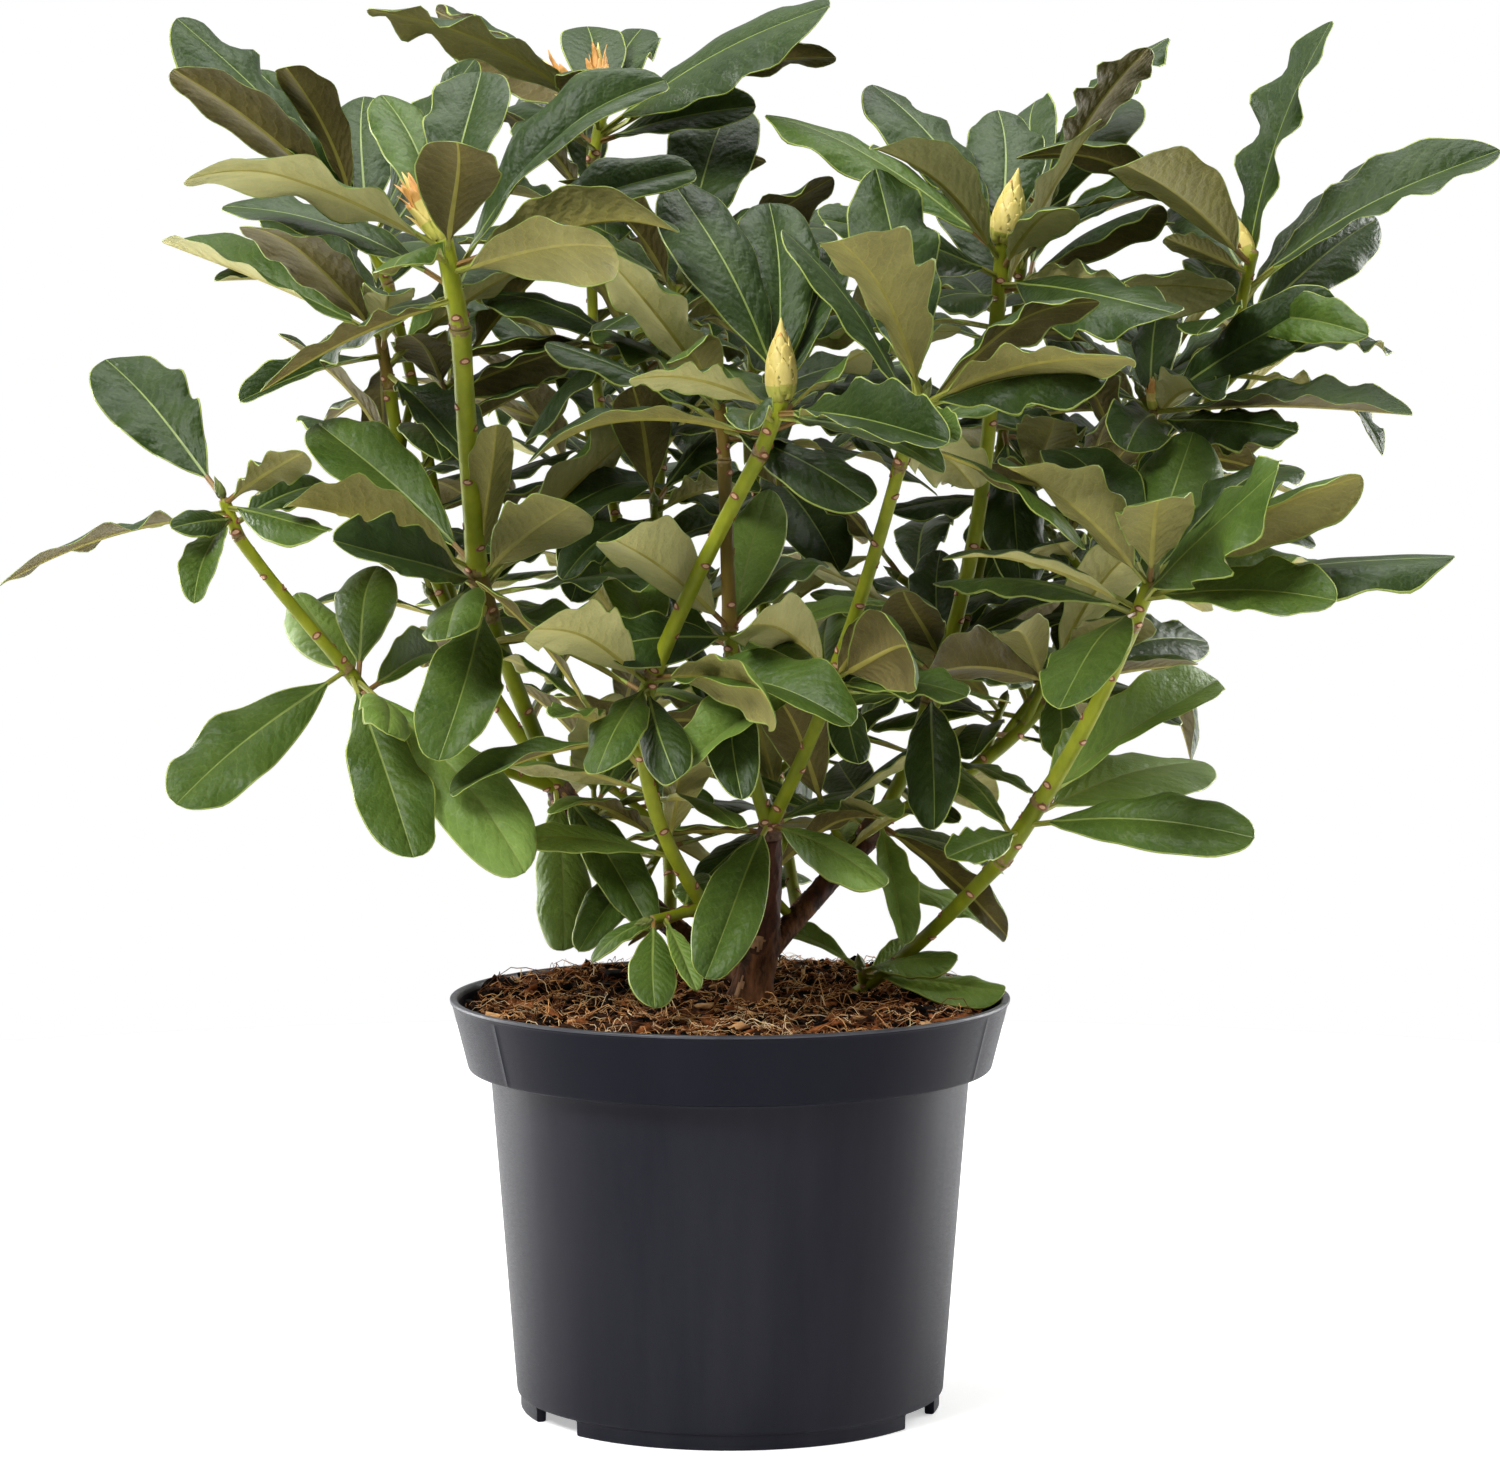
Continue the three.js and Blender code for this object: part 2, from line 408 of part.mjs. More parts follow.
/** A leaf: a three-sided spindle spread into a flat, arched blade with a keel below. */
function leafSolid({ root, heading, rise, length, roll }) {
  const along = direction(heading, rise);
  const frontward = Math.cos(radians(heading)) < 0 ? -1 : 1;
  const up = direction(heading, rise + 90).applyAxisAngle(along, radians(roll * frontward));
  const side = along.clone().cross(up);
  const steps = LEAF_STATIONS.length - 1;
  const geometry = new THREE.ConeGeometry(1, 1, 3, steps, false, Math.PI);
  const position = geometry.attributes.position;
  for (let i = 0; i < position.count; i += 1) {
    const ring = Math.round((position.getY(i) + 0.5) * steps);
    const share = LEAF_STATIONS[ring];
    const across = Math.sign(Math.round(10 * position.getX(i)));
    const onAxis = Math.hypot(position.getX(i), position.getZ(i)) < 1e-6;
    const halfWidth = Math.max(LEAF_OUTLINE[ring] * LEAF_WIDTH * length / 2, PETIOLE_RADIUS);
    const keel = onAxis || across !== 0 ? 0 : Math.max(LEAF_THICKNESS * length, PETIOLE_RADIUS);
    const lift = LEAF_ARCH * length * Math.sin(Math.PI * share) - keel;
    const point = root.clone()
      .addScaledVector(along, share * length)
      .addScaledVector(side, halfWidth * across)
      .addScaledVector(up, lift);
    position.setXYZ(i, point.x, point.y, point.z);
  }
  return solidOf(geometry);
}

/** A pointed flower bud standing on the tip of a shoot. */
function budSolid(root, heading, rise, length) {
  const profile = [[0, 0], [2.6, 0], [0.19 * length, 0.4 * length], [0.14 * length, 0.72 * length],
    [0, length]].map(([radius, z]) => new THREE.Vector2(radius, z));
  const geometry = new THREE.LatheGeometry(profile, LIMB_SIDES);
  const upright = new THREE.Vector3(0, 1, 0);
  const turn = new THREE.Quaternion().setFromUnitVectors(upright, direction(heading, rise));
  return solidOf(geometry.applyQuaternion(turn).translate(root.x, root.y, root.z));
}

/** The leaves of a mass by rule: golden-angle turns, falling from the top of the stem. */
function ruledLeaves(seed, { count, size, rises }) {
  return Array.from({ length: count }, (_, i) => {
    const share = i / (count - 1);
    const heading = seed * 47 + i * GOLDEN_ANGLE + HEADING_PLAY * (noise(seed * 31 + i) - 0.5);
    const drop = OPEN_SIDE_DROP * Math.max(0, -Math.sin(radians(heading)));
    return [
      heading,
      lerp(rises[0], rises[1], share) - drop + RISE_PLAY * (noise(seed * 57 + i) - 0.5),
      size * (lerp(YOUNG_LEAF, OLD_LEAF, share) + LENGTH_PLAY * noise(seed * 83 + i)),
      ROLL_PLAY * (noise(seed * 91 + i) - 0.5),
    ];
  });
}

/** Where on its stem the leaf of this order stands: whorls at the tip and, in two tiers, low. */
function stemShare(mass, order) {
  const done = order / mass.count;
  const isLow = mass.tiers === 2 && done >= HIGH_TIER_SHARE;
  return isLow ? LOW_TIER_TOP - LOW_TIER_DEPTH * done : WHORL_TOP - WHORL_DEPTH * done;
}

/** Fits one leaf to its mass: turned a little where something is in the way, or left out. */
function fitLeaf(mass, [heading, rise, length, roll], order, everything) {
  const share = stemShare(mass, order);
  const root = mass.limb.curve.getPointAt(share);
  for (const turn of TURNS) {
    const leaf = leafSolid({ root, heading: heading + turn, rise, length, roll });
    const box = leaf.boundingBox();
    const blocked = everything.some((item) => item.mass !== mass
      && boxesMeet(box, item.box) && leaf.minGap(item.solid, GAP) < GAP);
    if (!blocked) {
      everything.push({ mass, box, solid: leaf });
      mass.leaves.push(leaf);
      mass.directions.push(direction(heading + turn, rise));
      return;
    }
  }
}

/** Masses of foliage by name: first the leaves that show, then the rest by rule. */
function makeMasses(limbs, fixed) {
  const everything = fixed.map((solid) => ({ solid, box: solid.boundingBox() }));
  const masses = [];
  for (const limb of limbs.values()) {
    const mass = { limb, leaves: [], directions: [], buds: [], ...LEAVES[limb.name] };
    everything.push({ mass, solid: limb.solid, box: limb.solid.boundingBox() });
    if (LEAVES[limb.name]) masses.push(mass);
  }
  for (const mass of masses) {
    mass.shows.forEach((leaf, order) => fitLeaf(mass, leaf, order, everything));
  }
  const nearest = Math.cos(radians(LEAF_SPACING));
  masses.forEach((mass, seed) => {
    for (const leaf of ruledLeaves(seed + 1, mass)) {
      const way = direction(leaf[0], leaf[1]);
      const crowded = mass.directions.some((other) => other.dot(way) > nearest);
      if (!crowded && mass.directions.length < mass.count) {
        fitLeaf(mass, leaf, mass.directions.length, everything);
      }
    }
  });
  return masses;
}

/** One mass as a single solid: its stem, its leaves and its buds. */
function massSolid(mass) {
  const tip = mass.limb.curve.getPointAt(0.9);
  const buds = mass.buds.map(([heading, rise, length]) => budSolid(tip, heading, rise, length));
  return wasm.Manifold.union([mass.limb.solid, ...mass.leaves, ...buds]);
}

// ---- the whole plant ----

const group = new THREE.Group();
const pot = makePot();
const soil = makeSoil();
group.add(meshOf("pot", pot, POT_COLOUR, 0.45));
group.add(meshOf("soil", soil, SOIL_COLOUR, 0.95));

const limbs = makeLimbs();
const masses = makeMasses(limbs, [pot, soil]);
for (const limb of limbs.values()) {
  if (!LEAVES[limb.name]) {
    const colour = WOODY_LIMBS.includes(limb.name) ? BARK_COLOUR : SHOOT_COLOUR;
    group.add(meshOf(limb.name, limb.solid, colour, 0.7));
  }
}
for (const mass of masses) {
  group.add(meshOf(mass.limb.name, massSolid(mass), LEAF_COLOUR, 0.45));
}

export default group;
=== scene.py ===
# A young rhododendron in a round nursery pot, in metres, +Z up. The origin is the centre of the
# pot's underside, +X is to the right of the front view and +Y points away from it.
import math

import bpy
import numpy as np
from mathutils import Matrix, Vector
from mathutils.bvhtree import BVHTree


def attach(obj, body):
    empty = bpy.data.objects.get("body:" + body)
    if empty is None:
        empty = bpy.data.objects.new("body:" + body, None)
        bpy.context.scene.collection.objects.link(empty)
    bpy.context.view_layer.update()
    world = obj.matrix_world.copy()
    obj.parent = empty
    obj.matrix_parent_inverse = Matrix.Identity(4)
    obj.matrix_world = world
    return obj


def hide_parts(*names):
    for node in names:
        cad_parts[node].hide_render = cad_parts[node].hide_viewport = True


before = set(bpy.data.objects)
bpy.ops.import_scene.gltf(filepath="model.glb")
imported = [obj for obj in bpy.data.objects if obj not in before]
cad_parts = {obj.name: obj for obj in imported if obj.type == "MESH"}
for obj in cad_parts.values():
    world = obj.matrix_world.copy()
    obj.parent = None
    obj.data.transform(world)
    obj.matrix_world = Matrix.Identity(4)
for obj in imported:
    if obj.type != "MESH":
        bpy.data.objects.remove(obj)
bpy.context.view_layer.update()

# ---- camera -------------------------------------------------------------
# A long lens a little under two metres away, level with the crown and aimed slightly
# down, so that the plant and its pot stand upright and fill the frame.

CAMERA_PLACE = (0.0082, -1.92, 0.439)
CAMERA_AIM = (0.0082, 0.0, 0.2789)
CAMERA_LENS = 113.0


def add_object(name, data):
    """A new object in the scene."""
    thing = bpy.data.objects.new(name, data)
    bpy.context.collection.objects.link(thing)
    return thing


def aim(thing, place, target):
    """Puts a camera or a lamp at a place and turns it to its target."""
    thing.location = place
    thing.rotation_euler = (Vector(target) - Vector(place)).to_track_quat("-Z", "Y").to_euler()


camera = add_object("camera", bpy.data.cameras.new("camera"))
camera.data.sensor_width = 36.0
camera.data.lens = CAMERA_LENS
aim(camera, CAMERA_PLACE, CAMERA_AIM)
bpy.context.scene.camera = camera

# ---- pot ----------------------------------------------------------------
# The five-litre nursery pot: one thin moulding in black polypropylene, with a tapered wall,
# a stepped collar under its rolled lip, and a foot ring that three drain notches part round a
# raised floor. The mould leaves an upright parting mark on the collar over each notch.

MM = 0.001
POT_CORNERS = [  # (radius, height) in mm, from the middle of the underside out, up and back in
    (0, 0), (14, 0), (14, 7), (82.5, 7), (82.5, 0), (86.5, 0), (86.5, 6), (88, 7), (98.5, 140),
    (107.5, 141), (114.2, 167.7), (115, 168.5), (115, 170), (112.2, 170), (105.5, 143),
    (96.5, 142), (86, 11), (0, 11),
]
POT_EDGE_ROUNDING = 1.1
POT_TURNS = 216
NOTCH_HEADINGS = (-25.0, 95.0, 215.0)
NOTCH_WIDTH = 30.0
NOTCH_HEIGHT = 6.5
FOOT_RING = (80.0, 87.3)
FOOT_RADIUS = 86.5
COLLAR_BAND = (142.0, 167.0)
COLLAR_INSIDE = 107.0
COLLAR_FROM = (98.0, 139.5)  # radius and height from which a face is the collar's, and the lip's
LIP_FROM = (111.5, 168.6)
MOULD_MARK_HEIGHT = 0.2
MOULD_MARK_WIDTH = 0.5
DRAIN_CIRCLE = 62.0
DRAIN_RADIUS = 5.0
DRAIN_HOLES = 6
POT_COLOURS = ((0.0034, 0.0034, 0.0100), (0.0140, 0.0140, 0.0210))
# The collar's colours are darker than the wall's, on the same plastic: painted shade.
COLLAR_SHADED_COLOURS = ((0.0026, 0.0027, 0.0080), (0.0052, 0.0053, 0.0125))
# The lip's colours run much lighter, on the same black plastic: a painted highlight along the lip.
LIP_HIGHLIGHT_COLOURS = ((0.0140, 0.0140, 0.0210), (0.075, 0.078, 0.092))
SPECK_GREY = (0.10, 0.10, 0.12)


def rounded_profile(corners, rounding, run=9.0, arc_points=5):
    """A profile with its corners eased: at each corner a parabola joins two points that lie
    `rounding` away along the sides, and each side is divided into runs of about `run`."""
    corners = np.array(corners, float)
    points = [corners[:1]]
    for before, corner, after in zip(corners[:-2], corners[1:-1], corners[2:]):
        ends = []
        for other in (before, after):
            side = other - corner
            ease = min(rounding, 0.4 * np.linalg.norm(side))
            ends.append(corner + side / np.linalg.norm(side) * ease)
        start = points[-1][-1]
        pieces = max(1, int(np.linalg.norm(ends[0] - start) / run))
        shares = np.concatenate([[0.12 / pieces], np.arange(1, pieces) / pieces, [1 - 0.12 / pieces]])
        points.append(start + (ends[0] - start) * shares[:, None])
        t = np.linspace(0, 1, arc_points)[:, None]
        points.append((1 - t) ** 2 * ends[0] + 2 * t * (1 - t) * corner + t ** 2 * ends[1])
    points.append(corners[-1:])
    return np.concatenate(points)


def between(value, low, high):
    """How far a value has come from low to high, from 0 to 1."""
    return np.clip((value - low) / (high - low), 0, 1)


def ring_quads(rings, sides, first=0):
    """Corner numbers of the quads between closed rings of `sides` points, numbered from first."""
    i = np.arange(sides)
    j = (i + 1) % sides
    base = first + sides * np.arange(rings - 1)[:, None]
    return np.stack([base + i, base + j, base + sides + j, base + sides + i], 2).reshape(-1, 4)


def turned_faces(rings, sides):
    """The faces of a turned form, numbered as a pole, rings of `sides` points and another pole:
    the triangles at the poles and the quads between the rings."""
    i = np.arange(sides)
    j = (i + 1) % sides
    end = 1 + rings * sides
    poles = np.concatenate([np.stack([0 * i, 1 + j, 1 + i], 1),
                            np.stack([0 * i + end, end - sides + i, end - sides + j], 1)])
    return poles, ring_quads(rings, sides, 1)


def make_piece(name, parts, materials, uv=None):
    """A smooth-shaded mesh object at the origin. Each part has its points in mm and its faces, as
    pairs of corner numbers (face, corner) and material numbers. There may be a UV per point."""
    offsets = np.cumsum([0] + [len(points) for points, _ in parts])
    groups = [(faces + offset, slots) for (_, pairs), offset in zip(parts, offsets) for faces, slots in pairs]
    points = np.concatenate([points for points, _ in parts]) * MM
    corners = np.concatenate([faces.ravel() for faces, _ in groups]).astype(np.int32)
    sizes = np.concatenate([np.full(len(faces), faces.shape[1]) for faces, _ in groups])
    kinds = np.concatenate([np.broadcast_to(slots, len(faces)) for faces, slots in groups])
    mesh = bpy.data.meshes.new(name)
    mesh.vertices.add(len(points))
    mesh.vertices.foreach_set("co", points.astype(np.float32).ravel())
    mesh.loops.add(len(corners))
    mesh.loops.foreach_set("vertex_index", corners)
    mesh.polygons.add(len(sizes))
    mesh.polygons.foreach_set("loop_start", (np.cumsum(sizes) - sizes).astype(np.int32))
    mesh.polygons.foreach_set("material_index", kinds.astype(np.int32))
    if uv is not None:
        layer = mesh.uv_layers.new(name="UVMap")
        layer.data.foreach_set("uv", uv[corners].astype(np.float32).ravel())
    mesh.update(calc_edges=True)
    mesh.shade_smooth()
    for material in materials:
        mesh.materials.append(material)
    return add_object(name, mesh)


def feed(node, inputs):
    """Gives inputs of a node, by name or number, a link from a socket or a plain value each."""
    for key, value in inputs.items():
        socket = node.inputs[key]
        if isinstance(value, bpy.types.NodeSocket):
            node.id_data.links.new(value, socket)
        else:
            socket.default_value = (*value, 1.0) if socket.type == "RGBA" else value
    return node


def add_node(tree, kind, inputs=None, **settings):
    """A new shader node's outputs, once it has its settings and inputs."""
    node = tree.nodes.new("ShaderNode" + kind)
    for key, value in settings.items():
        setattr(node, key, value)
    return feed(node, inputs or {}).outputs


def maths(tree, operation, *values):
    """The result of a Math node."""
    return add_node(tree, "Math", dict(enumerate(values)), operation=operation)[0]


def ramp(tree, value, low, high, start=0.0, end=1.0, way="LINEAR"):
    """What runs from start to end, and no further, while the value runs from low to high."""
    inputs = {"Value": value, "From Min": low, "From Max": high, "To Min": start, "To Max": end}
    return add_node(tree, "MapRange", inputs, interpolation_type=way)[0]


def mixed(tree, share, under, over):
    """One colour with a share of another over it."""
    return add_node(tree, "Mix", {0: share, 6: under, 7: over}, data_type="RGBA")[2]


def bumped(tree, height, distance, strength=1.0, **more):
    """The normal of a bump, which may stand on another."""
    inputs = {"Height": height, "Distance": abs(distance), "Strength": strength, **more}
    return add_node(tree, "Bump", inputs, invert=distance < 0)[0]


def pattern(tree, kind, scale, **inputs):
    """A texture of the Object coordinates, stretched by `scale` along x, y and z."""
    place = add_node(tree, "TexCoord")["Object"]
    spot = add_node(tree, "Mapping", {"Vector": place, "Scale": scale})[0]
    return add_node(tree, kind, {"Vector": spot, **inputs})[0]


def open_group(name, **inputs):
    """A new shader node group and the sockets of its inputs, which are numbers or colours."""
    group = bpy.data.node_groups.new(name, "ShaderNodeTree")
    for label, value in inputs.items():
        kind = "NodeSocketFloat" if isinstance(value, float) else "NodeSocketColor"
        group.interface.new_socket(label, in_out="INPUT", socket_type=kind).default_value = value
    return group, group.nodes.new("NodeGroupInput").outputs


def close_group(group, **outputs):
    """Gives a node group its outputs."""
    for label, socket in outputs.items():
        kind = "NodeSocketColor" if socket.type == "RGBA" else "NodeSocketFloat"
        group.interface.new_socket(label, in_out="OUTPUT", socket_type=kind)
    feed(group.nodes.new("NodeGroupOutput"), outputs)


# Mottle: two colours that run into each other in soft patches, and a value that follows them.
mottle, given = open_group("mottle", Dark=(0, 0, 0, 1), Light=(1, 1, 1, 1), Scale=60.0, Along=1.0,
                           Sharpness=0.5)
place = add_node(mottle, "TexCoord")["Object"]
stretch = add_node(mottle, "CombineXYZ", {"X": 1.0, "Y": 1.0, "Z": given["Along"]})[0]
spot = add_node(mottle, "VectorMath", {0: place, 1: stretch}, operation="MULTIPLY")[0]
cloud = add_node(mottle, "TexNoise", {"Vector": spot, "Scale": given["Scale"], "Detail": 5.0,
                                      "Roughness": 0.6})[0]
low = maths(mottle, "MULTIPLY", given["Sharpness"], 0.5)
patches = ramp(mottle, cloud, low, maths(mottle, "SUBTRACT", 1.0, low))
close_group(mottle, Color=mixed(mottle, patches, given["Dark"], given["Light"]), Value=patches)


def mottled(name, roughness, colours, scale, along=1.0, sharpness=0.5, shine=0.5):
    """A Principled material whose base colour is the mottle of two colours, with its node tree,
    its shader and the mottle's outputs."""
    material = bpy.data.materials.new(name)
    material.use_nodes = True
    tree = material.node_tree
    look = {"Dark": colours[0], "Light": colours[1], "Scale": scale, "Along": along, "Sharpness": sharpness}
    patches = add_node(tree, "Group", look, node_tree=mottle)
    shader = feed(tree.nodes["Principled BSDF"], {"Base Color": patches["Color"], "Roughness": roughness,
                                                  "Specular IOR Level": shine})
    return material, tree, shader, patches


def simple_material(name, roughness, colours, scale, along=1.0, sharpness=0.5, relief=0.0, shine=0.5):
    """A mottled material, with the same mottle as a bump `relief` metres high."""
    material, tree, shader, patches = mottled(name, roughness, colours, scale, along, sharpness, shine)
    if relief:
        feed(shader, {"Normal": bumped(tree, patches["Value"], relief)})
    return material


def pot_plastic(name, colours, shine):
    """Moulded black plastic: a soft satin skin with upright flow streaks, a fine grain, hairline
    scuffs that change its gloss, and a few pale specks of dust."""
    material, tree, shader, patches = mottled(name, 0.4, colours, 38.0, 0.12, 0.4, shine)
    specks = ramp(tree, pattern(tree, "TexVoronoi", (420, 420, 420)), 0.06, 0.035)
    sparse = ramp(tree, pattern(tree, "TexNoise", (45, 45, 45)), 0.56, 0.66)
    scuffs = pattern(tree, "TexNoise", (60, 60, 900), Detail=4.0)
    grain = pattern(tree, "TexNoise", (700, 700, 700), Detail=3.0)
    dusted = mixed(tree, maths(tree, "MULTIPLY", specks, sparse), patches["Color"], SPECK_GREY)
    feed(shader, {"Base Color": dusted, "Roughness": ramp(tree, scuffs, 0.3, 0.7, 0.33, 0.46),
                  "Normal": bumped(tree, grain, 0.00012, 0.5)})
    return material


pot_profile = rounded_profile(POT_CORNERS, POT_EDGE_ROUNDING)
notch_edge = math.degrees(NOTCH_WIDTH / 2 / FOOT_RADIUS)
edge_steps = (-notch_edge - 0.08, -notch_edge + 0.08, notch_edge - 0.08, notch_edge + 0.08,
              -0.3, -0.12, 0.0, 0.12, 0.3)
extra_headings = np.mod([heading + step for heading in NOTCH_HEADINGS for step in edge_steps], 360)
even_headings = np.arange(POT_TURNS) * 360 / POT_TURNS
pot_angles = np.unique(np.concatenate([even_headings, extra_headings]).round(3))
pot_radius, pot_angle = np.meshgrid(pot_profile[1:-1, 0], np.radians(pot_angles), indexing="ij")
pot_height = np.meshgrid(pot_profile[1:-1, 1], pot_angles, indexing="ij")[0]
from_notch = np.min([np.abs((np.degrees(pot_angle) - h + 180) % 360 - 180) for h in NOTCH_HEADINGS], 0)
# The foot ring is lifted to the notch's height between the notch's edges, and the collar's wall
# swells by a narrow bell curve, the mould mark, over each notch.
in_notch = (from_notch < notch_edge) & (pot_radius > FOOT_RING[0]) & (pot_radius < FOOT_RING[1])
pot_height = np.where(in_notch, np.maximum(pot_height, NOTCH_HEIGHT), pot_height)
on_collar = (pot_height > COLLAR_BAND[0]) & (pot_height < COLLAR_BAND[1]) & (pot_radius > COLLAR_INSIDE)
mark = np.exp(-(np.radians(from_notch) * pot_radius / MOULD_MARK_WIDTH) ** 2)
pot_radius = pot_radius + MOULD_MARK_HEIGHT * mark * on_collar
pot_grid = np.stack([pot_radius * np.cos(pot_angle), pot_radius * np.sin(pot_angle), pot_height], 2)
pot_points = np.concatenate([[[0, 0, 0]], pot_grid.reshape(-1, 3), [[0, 0, pot_profile[-1, 1]]]])
pot_rows, pot_sides = pot_radius.shape
pot_poles, pot_quads = turned_faces(pot_rows, pot_sides)
row_place = np.repeat(pot_profile[1:-2], pot_sides, 0)
pot_slots = np.where((row_place > LIP_FROM).all(1), 2, (row_place > COLLAR_FROM).all(1))
# Three copies of one plastic: the wall's own colour, a darker copy on the collar as painted shade, and a
# lighter copy on the lip as a painted highlight.
pot_plastics = [pot_plastic("pot_black", POT_COLOURS, 0.17),
                pot_plastic("pot_collar_shaded", COLLAR_SHADED_COLOURS, 0.12),
                pot_plastic("pot_lip_highlight", LIP_HIGHLIGHT_COLOURS, 0.5)]
pot = make_piece("nursery_pot", [(pot_points, [(pot_poles, 0), (pot_quads, pot_slots)])], pot_plastics)

for drain_angle in np.radians(np.arange(DRAIN_HOLES) * 360.0 / DRAIN_HOLES):
    drain_x, drain_y = DRAIN_CIRCLE * MM * math.cos(drain_angle), DRAIN_CIRCLE * MM * math.sin(drain_angle)
    bpy.ops.mesh.primitive_cylinder_add(vertices=32, radius=DRAIN_RADIUS * MM, depth=30 * MM,
                                        location=(drain_x, drain_y, 9 * MM))
    drill = bpy.context.object
    hole = pot.modifiers.new("drain", "BOOLEAN")
    hole.object = drill
    hole.solver = "EXACT"
    bpy.context.view_layer.update()
    with bpy.context.temp_override(object=pot, active_object=pot):
        bpy.ops.object.modifier_apply(modifier=hole.name)
    bpy.data.objects.remove(drill)
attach(pot, "root")
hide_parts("pot")

# ---- potting soil -------------------------------------------------------
# Peat and bark compost that fills the pot to just under the lip: a dark fibrous bed, with
# crumbs of peat, chips of reddish bark and tan root fibres lying loose over its top. The bed
# and most crumbs are near black: the dark colour of peat, darkened further with painted shade
# of the gaps between the bits.

SOIL_TOP = 165.6
SOIL_EDGE_DROP = 2.6
SOIL_EDGE_RADIUS = 109.4
SOIL_ROUGHNESS = 2.3
SOIL_MOUND = 5.0
SOIL_RISE = (-30, 60)
SOIL_TURNS = 200
SOIL_RINGS = 70
SOIL_SIDE = [(85.7, 11.3), (96.2, 142.3), (104.2, 143.3), (109.2, 160.0)]
CRUMB_COUNT = 3200
CRUMB_SIZE = (0.7, 2.6)
CHIP_COUNT = 1350
CHIP_LENGTH = (1.2, 7.5)
CHIP_SLENDERNESS = (0.16, 0.5)
CHIP_THICKNESS = (0.4, 1.1)
CHIP_SHARES = [0.36, 0.17, 0.06, 0.41]
CORNER_JITTER = 0.28
FIBRE_COUNT = 2700
FIBRE_STATIONS = 8
FIBRE_LENGTH = (5, 36)
FIBRE_THICKNESS = (0.09, 0.25)
FIBRE_SHARES = [0.32, 0.55, 0.13]
# Near-black peat: the dark colour of peat, darkened further by painted shade of the gaps.
PEAT_AND_SHADE_COLOURS = ((0.0006, 0.0004, 0.0003), (0.013, 0.006, 0.003))
CHIP_AND_SHADE_COLOURS = [((0.007, 0.003, 0.001), (0.050, 0.020, 0.009)), ((0.11, 0.030, 0.009), (0.40, 0.140, 0.046)),
                ((0.34, 0.165, 0.070), (0.72, 0.430, 0.200)),
                # The fourth kind is near black: painted shade of the gaps between the bits, not bark.
                ((0.0008, 0.0006, 0.0005), (0.006, 0.004, 0.003))]
FIBRE_COLOURS = [((0.44, 0.195, 0.068), (0.86, 0.480, 0.200)), ((0.055, 0.017, 0.006), (0.26, 0.090, 0.028)),
                 ((0.68, 0.460, 0.230), (0.95, 0.770, 0.490))]
rng = np.random.default_rng(41)


def ripple(places, wavelength, seed):
    """Smooth random relief between about -1 and 1 at places (..., k): the mean of 14 sine waves
    that run in random directions, with wavelengths from 0.6 to 1.8 times the one given."""
    wave_rng = np.random.default_rng(seed)
    ways = wave_rng.normal(size=(14, places.shape[-1]))
    ways *= (2 * np.pi / (wavelength * wave_rng.uniform(0.6, 1.8, (14, 1)))
             / np.linalg.norm(ways, axis=1, keepdims=True))
    phases = wave_rng.uniform(0, 2 * np.pi, 14)
    return np.sin(places @ ways.T + phases).mean(-1) * 2.2


def soil_level(x, y):
    """Height of the compost: flat, falling by the edge drop as the fourth power of the radius
    and rising smoothly to a low mound behind, with coarse and fine ripples on it."""
    radius = np.hypot(x, y)
    behind = between(y, *SOIL_RISE)
    spot = np.stack([x, y], -1)
    bumps = ripple(spot, 34.0, 1) + 0.8 * ripple(spot, 12.0, 2) + 0.6 * ripple(spot, 5.0, 3)
    mound = SOIL_MOUND * behind * behind * (3 - 2 * behind)
    return SOIL_TOP - SOIL_EDGE_DROP * (radius / SOIL_EDGE_RADIUS) ** 4 + mound + SOIL_ROUGHNESS * bumps


side_radius, side_height = np.array(SOIL_SIDE).T
ring_radius = np.concatenate([side_radius, np.linspace(SOIL_EDGE_RADIUS, 1.5, SOIL_RINGS)])
soil_angle = np.arange(SOIL_TURNS) * 2 * np.pi / SOIL_TURNS
soil_x = ring_radius[:, None] * np.cos(soil_angle)
soil_y = ring_radius[:, None] * np.sin(soil_angle)
soil_z = soil_level(soil_x, soil_y)
soil_z[:len(side_height)] = side_height[:, None]
soil_middle = soil_level(np.zeros(1), np.zeros(1))[0]
soil_points = np.concatenate([[[0, 0, side_height[0]]], np.stack([soil_x, soil_y, soil_z], 2).reshape(-1, 3),
                              [[0, 0, soil_middle]]])
peat = simple_material("peat", 0.95, PEAT_AND_SHADE_COLOURS, 330.0, 1.0, 0.7, 0.0022, 0.03)
soil = make_piece("compost", [(soil_points, [(faces, 0) for faces in turned_faces(*soil_x.shape)])], [peat])


def random_frames(count, tilt):
    """Right-handed sets of three axes (count, 3, 3): a random heading, then a random lean of up
    to `tilt` degrees in two directions."""
    heading = rng.uniform(0, 2 * np.pi, count)
    lean, bank = np.radians(rng.uniform(-tilt, tilt, (2, count)))
    ahead = np.stack([np.cos(heading) * np.cos(lean), np.sin(heading) * np.cos(lean), np.sin(lean)], 1)
    level = np.stack([-np.sin(heading), np.cos(heading), np.zeros(count)], 1)
    above = np.cross(ahead, level)
    side = level * np.cos(bank)[:, None] + above * np.sin(bank)[:, None]
    return np.stack([ahead, side, np.cross(ahead, side)], 1)


def scattered(count, margin):
    """Even random places on the compost, up to `margin` from its edge, as x and y."""
    radius = (SOIL_EDGE_RADIUS - margin) * np.sqrt(rng.uniform(0, 1, count))
    angle = rng.uniform(0, 2 * np.pi, count)
    return radius * np.cos(angle), radius * np.sin(angle)


def repeated(faces, points_each, count):
    """The corner numbers of one small shape's faces, repeated for `count` copies of it."""
    return (faces[None] + points_each * np.arange(count)[:, None, None]).reshape(-1, faces.shape[1])


